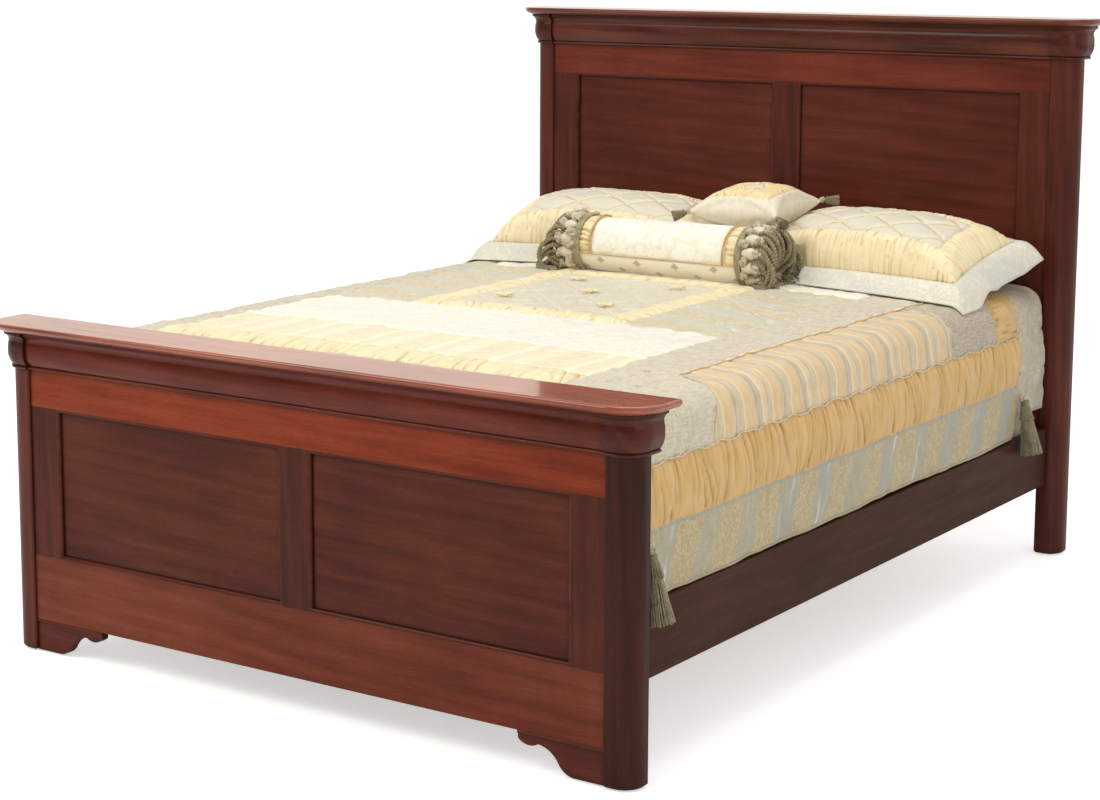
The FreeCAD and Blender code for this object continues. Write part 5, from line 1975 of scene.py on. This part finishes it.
# ---------------------------------------------------------------- bolster, fringes and tassels
@dataclass
class Bolster:
    """The roll in front of the shams, with its knotted rope fringes."""

    length: float = 0.56
    radius: float = 0.078
    centre_x: float = -0.1
    y: float = 0.5985
    z: float = 0.7974
    rim: float = 0.254
    band: float = 0.05
    lower_from: float = 300.0       # the lower cloth, in degrees round the roll from below
    lower_to: float = 76.0
    seam: float = 77.0
    knots: int = 12
    loops: int = 26
    fatter: float = 0.005           # how much the roll swells in its middle
    room_radius: float = 0.094      # what the shams keep clear of, with the fringes
    room_half: float = 0.36
    noise: Ripple = field(default_factory=lambda: Ripple(31))

    def roll(self) -> None:
        """The roll itself, with its bands, its seam and its gathered ends."""
        half = self.length / 2
        body = np.linspace(-self.rim, self.rim, 190)
        turn = np.linspace(0, 2 * math.pi, 168, endpoint=False)
        slump = np.linspace(0, math.pi / 2, 14)[1:]
        ends = self.rim + (half - self.rim - 0.004) * np.sin(slump)
        inner = (self.radius - self.fatter) * np.cos(slump * 0.93)
        axial = np.concatenate([-ends[::-1], body, ends])
        reach = np.concatenate([inner[::-1], np.full(len(body), self.radius - self.fatter), inner])
        fat = self.fatter * np.clip(1 - (axial / self.rim) ** 2, 0, 1)
        a, w = np.meshgrid(axial, turn, indexing="ij")
        r = (reach + fat)[:, None] * np.ones_like(w)
        lower = (w < math.radians(self.lower_to)) | (w > math.radians(self.lower_from))
        gold = (np.abs(a) < self.rim) & (np.abs(a) > self.rim - self.band) & ~lower
        lobes = self.noise.gathers(w * self.radius + np.sign(a), np.abs(a), 0.012, 0.06)
        crease = lobes * gold
        past_seam = np.abs(a) - self.rim + self.band
        share = np.clip(past_seam / self.band, 0, 1)
        r += gold * (4 * share * (1 - share) * 0.003) - crease * 0.004
        petals = (np.abs(a) > self.rim)
        r -= petals * 0.004 * (0.5 + 0.5 * np.cos(w * 14)) * eased(np.abs(a), self.rim, half)
        r += (self.noise.at(a * 22 + 40, w * 1.6 + 3) - 0.5) * 0.005 * ~petals
        r -= 0.003 * np.exp(-(past_seam / 0.005) ** 2) * ~lower
        r -= 0.0025 * np.exp(-((w - math.radians(self.seam)) / 0.06) ** 2)
        flat = np.maximum(-r * np.cos(w), -self.radius + 0.0005)
        points = np.stack([self.centre_x + a, self.y - r * np.sin(w), self.z + flat], -1)
        points[..., 2] = np.maximum(points[..., 2], self.z - self.radius + 0.003)
        cloth = np.stack([a, w * self.radius, np.zeros_like(a)], -1)
        face_a = np.abs((axial[1:] + axial[:-1]) / 2)
        zone = np.zeros((len(axial) - 1, len(turn)), int)
        upper = ~lower[0]
        zone[((face_a > self.rim - self.band) & (face_a < self.rim))[:, None] & upper[None, :]] = 1
        zone[face_a > self.rim] = 2
        mesh = grid_mesh(points, closed=True, zones=zone, cloth=cloth, fold=1 - crease,
                         lower=lower.astype(float))
        piece = shown("bolster_roll", mesh, [BOLSTER_CLOTH, PALE_GOLD, CREAM])
        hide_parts("bolster")

    def ring_path(self, axial: float, radius: float, count: int = 120) -> Floats:
        """A closed ring round the roll.

        Args:
            axial: its place along the roll.
            radius: its radius.
            count: points on it.

        Returns:
            The ring.
        """
        turn = np.linspace(0, 2 * math.pi, count)
        ring = np.stack([np.full_like(turn, self.centre_x + axial), self.y - radius * np.sin(turn),
                         self.z - radius * np.cos(turn)], 1)
        ring[:, 2] = np.maximum(ring[:, 2], self.z - self.radius + 0.004)
        return ring

    def trims(self) -> None:
        """Cords at the bands' inner edges and braid at their outer edges."""
        meshes = []
        for side in (1, -1):
            ring = self.ring_path(side * (self.rim - self.band), self.radius + 0.0005)
            meshes.append(tube(ring[26:101], 0.0028, 6, 0))
            for off in (-0.012, -0.006, 0.0):
                braid = self.ring_path(side * (self.rim + off), self.radius + 0.001, 160)
                meshes.extend(twisted(braid, radius=0.0042, pitch=0.012, sides=4, number=1))
        angle, reach = math.radians(self.seam), self.radius + 0.001
        seam = [(self.centre_x + a, self.y - reach * math.sin(angle), self.z - reach * math.cos(angle))
                for a in (-0.25, -0.1, 0.1, 0.25)]
        meshes.append(tube(smoothed(seam, 60), 0.0016, 6, 0))
        shown("bolster_cords", joined_mesh(meshes), [CORD, BRAID])

    def fringes(self) -> None:
        """Rings of satin knots and loops of twisted rope at both ends."""
        rng = np.random.default_rng(5)
        knots: list[bpy.types.Mesh] = []
        floor = self.z - self.radius + 0.001
        for side in (1, -1):
            for row, (out, radius) in enumerate(((0.012, 0.081), (0.050, 0.076))):
                for i in range(self.knots):
                    angle = (i + 0.5 * row + rng.uniform(-0.12, 0.12)) * 2 * math.pi / self.knots
                    spot = self.on_ring(side, out + rng.uniform(-0.003, 0.003), radius, angle)
                    spot[2] = max(spot[2], floor + 0.013)
                    knots.extend(knot(spot, 0.0135 + rng.uniform(-0.001, 0.0018), rng))
            for i in range(self.knots):
                angle = (i + 0.5) * 2 * math.pi / self.knots
                knots.append(self.tuft(side, angle, floor))
            for i in range(self.loops):
                angle = (i + rng.uniform(-0.2, 0.2)) * 2 * math.pi / self.loops
                knots.extend(self.loop(side, angle, rng, floor))
        piece = shown("bolster_fringe", joined_mesh(knots), [KNOT, ROPE, TUFT])
        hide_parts("bolster_fringes")

    def on_ring(self, side: int, out: float, radius: float, angle: float) -> Floats:
        """A point near one end of the roll.

        Args:
            side: 1 at the right end, -1 at the left.
            out: distance past the rim.
            radius: distance from the roll's axis.
            angle: place round the roll, from below.

        Returns:
            The point.
        """
        return np.array([self.centre_x + side * (self.rim + out), self.y - radius * math.sin(angle),
                         self.z - radius * math.cos(angle)])

    def tuft(self, side: int, angle: float, floor: float) -> bpy.types.Mesh:
        """A puff of satin between the knots.

        Args:
            side: 1 at the right end, -1 at the left.
            angle: its place round the roll, from below.
            floor: height of the quilt.

        Returns:
            The puff.
        """
        shares = np.linspace(0, 1, 12)
        path = np.array([self.on_ring(side, 0.004 + 0.056 * share, 0.075 - 0.022 * share ** 2, angle)
                         for share in shares])
        path[:, 2] = np.maximum(path[:, 2], floor + 0.010)
        return tube(path, 0.002 + 0.0145 * np.sin(math.pi * shares) ** 0.6, 10, 2)

    def loop(self, side: int, angle: float, rng: np.random.Generator, floor: float) -> list[bpy.types.Mesh]:
        """One loop of rope, which hangs from the end and lies on the quilt.

        Args:
            side: 1 at the right end, -1 at the left.
            angle: its place round the roll, from below.
            rng: varies it.
            floor: height of the quilt.

        Returns:
            The rope's strands.
        """
        far = rng.uniform(0.066, 0.082) + (0.028 * (0.5 + 0.5 * math.cos(angle)) if side < 0 else 0.0)
        deep = rng.uniform(0.085, 0.105)
        way = rng.choice((-1.0, 1.0))
        corners = []
        for out, drop, aside in ((0.036, 0.0, -0.004), (0.8 * far, -0.004, -0.002),
                                 (1.14 * far, 0.18 * deep, 0.001), (1.24 * far, 0.5 * deep, 0.004),
                                 (1.08 * far, 0.82 * deep, 0.007), (0.72 * far, deep, 0.010),
                                 (0.5 * far, 0.96 * deep, 0.012)):
            spot = self.on_ring(side, out, 0.074, angle)
            spot[1] += way * aside
            spot[2] = max(spot[2] - drop, floor + 0.007 + rng.uniform(0, 0.006))
            corners.append(tuple(spot))
        return twisted(smoothed(corners, 60), radius=0.0062, pitch=0.017, sides=6, number=1)

    def build(self) -> None:
        """Makes the roll, its trims and its fringes."""
        self.roll()
        self.trims()
        self.fringes()


# the lower cloth's near-white is partly its own cream and partly painted light for the roll's shaded lower
# side
BOLSTER_CLOTH = BrocadeFinish("bolster_brocade_cloth", "fbf7e8", "f6f2e4", "aba084")


def knot(spot: Floats, size: float, rng: np.random.Generator) -> list[bpy.types.Mesh]:
    """A tied knot of satin cord.

    Args:
        spot: its middle.
        size: its radius.
        rng: turns it.

    Returns:
        Its mesh.
    """
    turn = np.linspace(0, 2 * math.pi, 30)
    wide = 1 + 0.45 * np.cos(3 * turn)
    path = np.stack([wide * np.cos(2 * turn), wide * np.sin(2 * turn), 0.8 * np.sin(3 * turn)], 1)
    path *= size * 0.52
    lie = np.array(Matrix.Rotation(rng.uniform(0, 6.28), 3, Vector(rng.normal(size=3)).normalized()))
    return [tube(spot + path @ lie.T, size * 0.42, 6, 0)]


@dataclass
class Tassel:
    """A tassel with a knotted head, a collar and a long skirt of yarn."""

    top: tuple[float, float, float]
    length: float
    skirt: float
    collar: float
    head: float
    lean: tuple[float, float, float]
    seed: int
    strands: int = 190

    def meshes(self) -> list[bpy.types.Mesh]:
        """The tassel's meshes: the head's cord as material 0, yarn as material 1, and a solid core as
        material 2, whose darker colour is painted shade for the yarn inside.
        """
        rng = np.random.default_rng(self.seed)
        down = np.array(self.lean) / np.linalg.norm(self.lean)
        side = np.cross(down, (0.0, 1.0, 0.0) if abs(down[1]) < 0.9 else (1.0, 0.0, 0.0))
        side /= np.linalg.norm(side)
        other = np.cross(down, side)
        top = np.array(self.top)
        made = knot(top + down * self.head, self.head * 1.05, rng)
        tiers = ((2.0 * self.head, self.length * 0.42, self.collar, self.strands // 2),
                 (self.length * 0.34, self.length, self.skirt, self.strands))
        for start, end, wide, count in tiers:
            for _ in range(count):
                angle = rng.uniform(0, 2 * math.pi)
                share = rng.uniform(0.82, 1.0)
                way = side * math.cos(angle) + other * math.sin(angle)
                spots = np.linspace(0, 1, 6)
                flare = (0.45 + 0.55 * spots ** 0.7) * wide * share
                drop = start + (end * rng.uniform(0.955, 1.0) - start) * spots
                bend = (side * rng.normal() + other * rng.normal()) * 0.0016
                path = top + down * drop[:, None] + way * flare[:, None] + bend * (spots ** 2)[:, None]
                made.append(tube(path, 0.0011, 3, 1))
            turn = np.linspace(0, 2 * math.pi, 20, endpoint=False)
            rows = []
            for share in np.linspace(0, 1, 6):
                flare = (0.45 + 0.55 * share ** 0.7) * wide * 0.84
                ring = top + down * (start + (end - start) * share * 0.985)
                rows.append(ring + flare * (side * np.cos(turn)[:, None] + other * np.sin(turn)[:, None]))
            rows.append(np.repeat((rows[-1].mean(0))[None, :], 20, 0))
            # a solid core inside the skirt, darker than the yarn: it stands for the yarn within, its darker
            # colour painted shade
            core = grid_mesh(np.array(rows), closed=True)
            core.polygons.foreach_set("material_index", np.full(len(core.polygons), 2))
            made.append(core)
        for off in (1.7, 2.1):
            turn = np.linspace(0, 2 * math.pi, 16)
            ring = top + down * self.head * off + self.collar * 0.52 * (
                side * np.cos(turn)[:, None] + other * np.sin(turn)[:, None])
            made.append(tube(ring, self.head * 0.22, 6, 1))
        return made


@dataclass
class Tassels:
    """All tassels of the quilt and of the small pillow."""

    lean: float = 10.0              # of the quilt's tassels, in degrees

    def build(self) -> None:
        """Makes them where the frame's solids are."""
        finishes: list[Finish] = [KNOT, ROPE, YarnFinish("khaki_core", "6a5f43", "857a58", "4e4631")]
        low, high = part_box("quilt_tassels")
        meshes = []
        for i, (side, y) in enumerate(((1, low.y), (1, high.y), (-1, low.y), (-1, high.y))):
            middle = y + (0.0265 if y < 0 else -0.0265)
            x = side * (high.x - 0.0485)
            lean = (side * math.sin(math.radians(self.lean)), 0.0, -math.cos(math.radians(self.lean)))
            meshes.extend(Tassel((x, middle, high.z - 0.002), length=0.157, skirt=0.0255, collar=0.018,
                                 head=0.0105, lean=lean, seed=60 + i).meshes())
        piece = shown("corner_tassels", joined_mesh(meshes), finishes)
        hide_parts("quilt_tassels")
        low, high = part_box("accent_pillow_tassels")
        meshes = []
        for i, (side, end) in enumerate(((-1, -1), (1, -1), (-1, 1), (1, 1))):
            corner = np.array([(low.x + high.x) / 2 + side * ((high.x - low.x) / 2 - 0.048),
                               (low.y + high.y) / 2 + end * ((high.y - low.y) / 2 - 0.046),
                               (low.z + high.z) / 2 + end * 0.012])
            droop = -0.30 if end < 0 else -0.06
            meshes.extend(Tassel(tuple(corner), length=0.052, skirt=0.014, collar=0.009, head=0.0075,
                                 lean=(side * 0.75, end * 0.55, droop), seed=80 + i, strands=70).meshes())
        piece = shown("small_pillow_tassels", joined_mesh(meshes), finishes)
        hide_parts("accent_pillow_tassels")


# ---------------------------------------------------------------- studio
@dataclass
class Studio:
    """Pale floor, soft lights and the camera at the photograph's angle."""

    camera_at: tuple[float, float, float] = (3.1006, -4.7949, 1.6362)
    yaw: float = -35.076
    pitch: float = -8.859
    roll: float = 0.021
    focal: float = 2362.3
    image: tuple[int, int] = (1100, 800)
    sensor: float = 36.0
    middle: tuple[float, float] = (489.7, 300.0)
    lit: tuple[float, float, float] = (0.0, 0.0, 0.6)

    def shoot_from(self) -> None:
        """The camera, from the photograph's perspective."""
        data = bpy.data.cameras.new("view")
        data.sensor_width = self.sensor
        data.lens = self.focal / self.image[0] * self.sensor
        data.shift_x = (self.image[0] / 2 - self.middle[0]) / self.image[0]
        data.shift_y = -(self.image[1] / 2 - self.middle[1]) / self.image[0]
        data.clip_end = 100.0
        yaw, pitch, roll = (math.radians(v) for v in (self.yaw, self.pitch, self.roll))
        ahead = Vector((math.sin(yaw) * math.cos(pitch), math.cos(yaw) * math.cos(pitch), math.sin(pitch)))
        right = Vector((math.cos(yaw), -math.sin(yaw), 0.0))
        up = right.cross(ahead)
        right, up = (right * math.cos(roll) + up * math.sin(roll),
                     up * math.cos(roll) - right * math.sin(roll))
        camera = bpy.data.objects.new("view", data)
        lie = Matrix((right, up, -ahead)).transposed().to_4x4()
        camera.matrix_world = Matrix.Translation(self.camera_at) @ lie
        bpy.context.scene.collection.objects.link(camera)
        bpy.context.scene.camera = camera

    def lamp(self, name: str, at: tuple[float, float, float], size: float, power: float, tint: str) -> None:
        """A square soft light that faces the bed.

        Args:
            name: the light's name.
            at: where it stands.
            size: its side.
            power: its watts.
            tint: its colour.
        """
        data = bpy.data.lights.new(name, "AREA")
        data.size = size
        data.energy = power
        data.color = colour(tint)[:3]
        lamp = bpy.data.objects.new(name, data)
        lamp.location = at
        lamp.rotation_euler = (Vector(self.lit) - Vector(at)).to_track_quat("-Z", "Y").to_euler()
        bpy.context.scene.collection.objects.link(lamp)

    def floor(self) -> None:
        """The pale floor."""
        steps = np.linspace(-60, 60, 9)
        x, y = np.meshgrid(steps, steps)
        mesh = grid_mesh(np.stack([x, y, np.zeros_like(x)], -1))
        bench = NodeBench("pale_floor")
        grit = bench.noise(bench.place(), scale=40.0, detail=3.0)
        bench.surface(Base_Color=bench.mix(grit, colour("f4f4f4"), colour("fafafa")), Roughness=0.7,
                      Specular_IOR_Level=0.2)
        seen = bench.math("MULTIPLY", bench.node("ShaderNodeLightPath", out=0), 0.5)
        glow = bench.node("ShaderNodeEmission", {"Color": (1.0, 1.0, 1.0, 1.0), "Strength": seen})
        both = bench.node("ShaderNodeAddShader", {0: bench.shader.outputs[0], 1: glow})
        bench.tree.links.new(both, bench.tree.nodes["Material Output"].inputs["Surface"])
        mesh.materials.append(bench.material)
        floor = bpy.data.objects.new("studio_floor", mesh)
        bpy.context.scene.collection.objects.link(floor)

    def sky(self) -> None:
        """A plain world: white to the camera, soft grey as light, darker where the camera's side reflects."""
        world = bpy.data.worlds.new("studio")
        world.use_nodes = True
        bpy.context.scene.world = world
        bench = WorldBench(world)
        glossy = bench.node("ShaderNodeLightPath", out="Is Glossy Ray")
        way = bench.part(bench.node("ShaderNodeTexCoord", out="Generated"), 1)
        ahead = bench.node("ShaderNodeMapRange", {"Value": way, "From Min": -0.25, "From Max": 0.35,
                                                  "To Min": 0.16, "To Max": 1.0})
        mirrored = bench.node("ShaderNodeMix", {0: glossy, 2: 0.62, 3: ahead})
        seen = bench.node("ShaderNodeLightPath", out="Is Camera Ray")
        bench.surface(Color=bench.mix(glossy, (1.0, 1.0, 1.0, 1.0), colour("fff1e4")),
                      Strength=bench.math("MAXIMUM", mirrored, seen))

    def build(self) -> None:
        """Sets the whole studio up."""
        bpy.context.scene.view_settings.view_transform = "Standard"
        self.shoot_from()
        self.floor()
        self.sky()
        self.lamp("key", (-2.6, -3.6, 4.2), 2.6, 95.0, "fffaf2")
        self.lamp("top", (0.4, 0.2, 4.6), 3.0, 70.0, "ffffff")
        self.lamp("fill", (4.4, -1.8, 2.4), 2.4, 30.0, "fff6ea")


# ---------------------------------------------------------------- the whole scene
def main() -> None:
    """Builds every sub-assembly in order."""
    logging.basicConfig(level=logging.INFO, format="%(message)s")
    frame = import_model()
    Studio().build()
    LOG.info("studio set up")
    soft = {"foundation", "mattress", "quilt", "sham_left", "sham_right", "bolster", "bolster_fringes",
            "accent_pillow", "accent_pillow_tassels", "quilt_tassels"}
    BedFrame({name: piece for name, piece in frame["nodes"].items() if name not in soft}).build()
    MattressSet().build()
    LOG.info("mattress and foundation made")
    Quilt().build()
    LOG.info("quilt made")
    bolster = Bolster()
    bolster.build()
    LOG.info("bolster made")
    room = Rests(roll_y=bolster.y, roll_z=bolster.z, roll_radius=bolster.room_radius,
                 roll_reach=(bolster.centre_x - bolster.room_half, bolster.centre_x + bolster.room_half))
    for side, name in ((1, "right"), (-1, "left")):
        Cushion(f"sham_{name}_body", f"sham_{name}", "sham_satin", SHAM_CLOTH,
                centre=(side * 0.408, 0.8075, 0.8073), length=0.640, depth=0.330, height=0.168, tilt=14.0,
                turn=5.0, mirror=side, flange=0.05, seed=40 + side).build(room)
        LOG.info("sham_%s made", name)
    low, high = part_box("accent_pillow")
    Cushion("small_pillow", "accent_pillow", "accent_satin", ACCENT_CLOTH,
            centre=((low.x + high.x) / 2, (low.y + high.y) / 2, (low.z + high.z) / 2), length=0.272,
            depth=0.262, height=0.096, tilt=5.0, turn=0.0, draw=0.014, seed=50, low_share=0.5, cell=0.006,
            most=0.008).build(Rests(top=0.0))
    LOG.info("small pillow made")
    Tassels().build()
    LOG.info("tassels made")


if __name__ == "__main__":
    main()
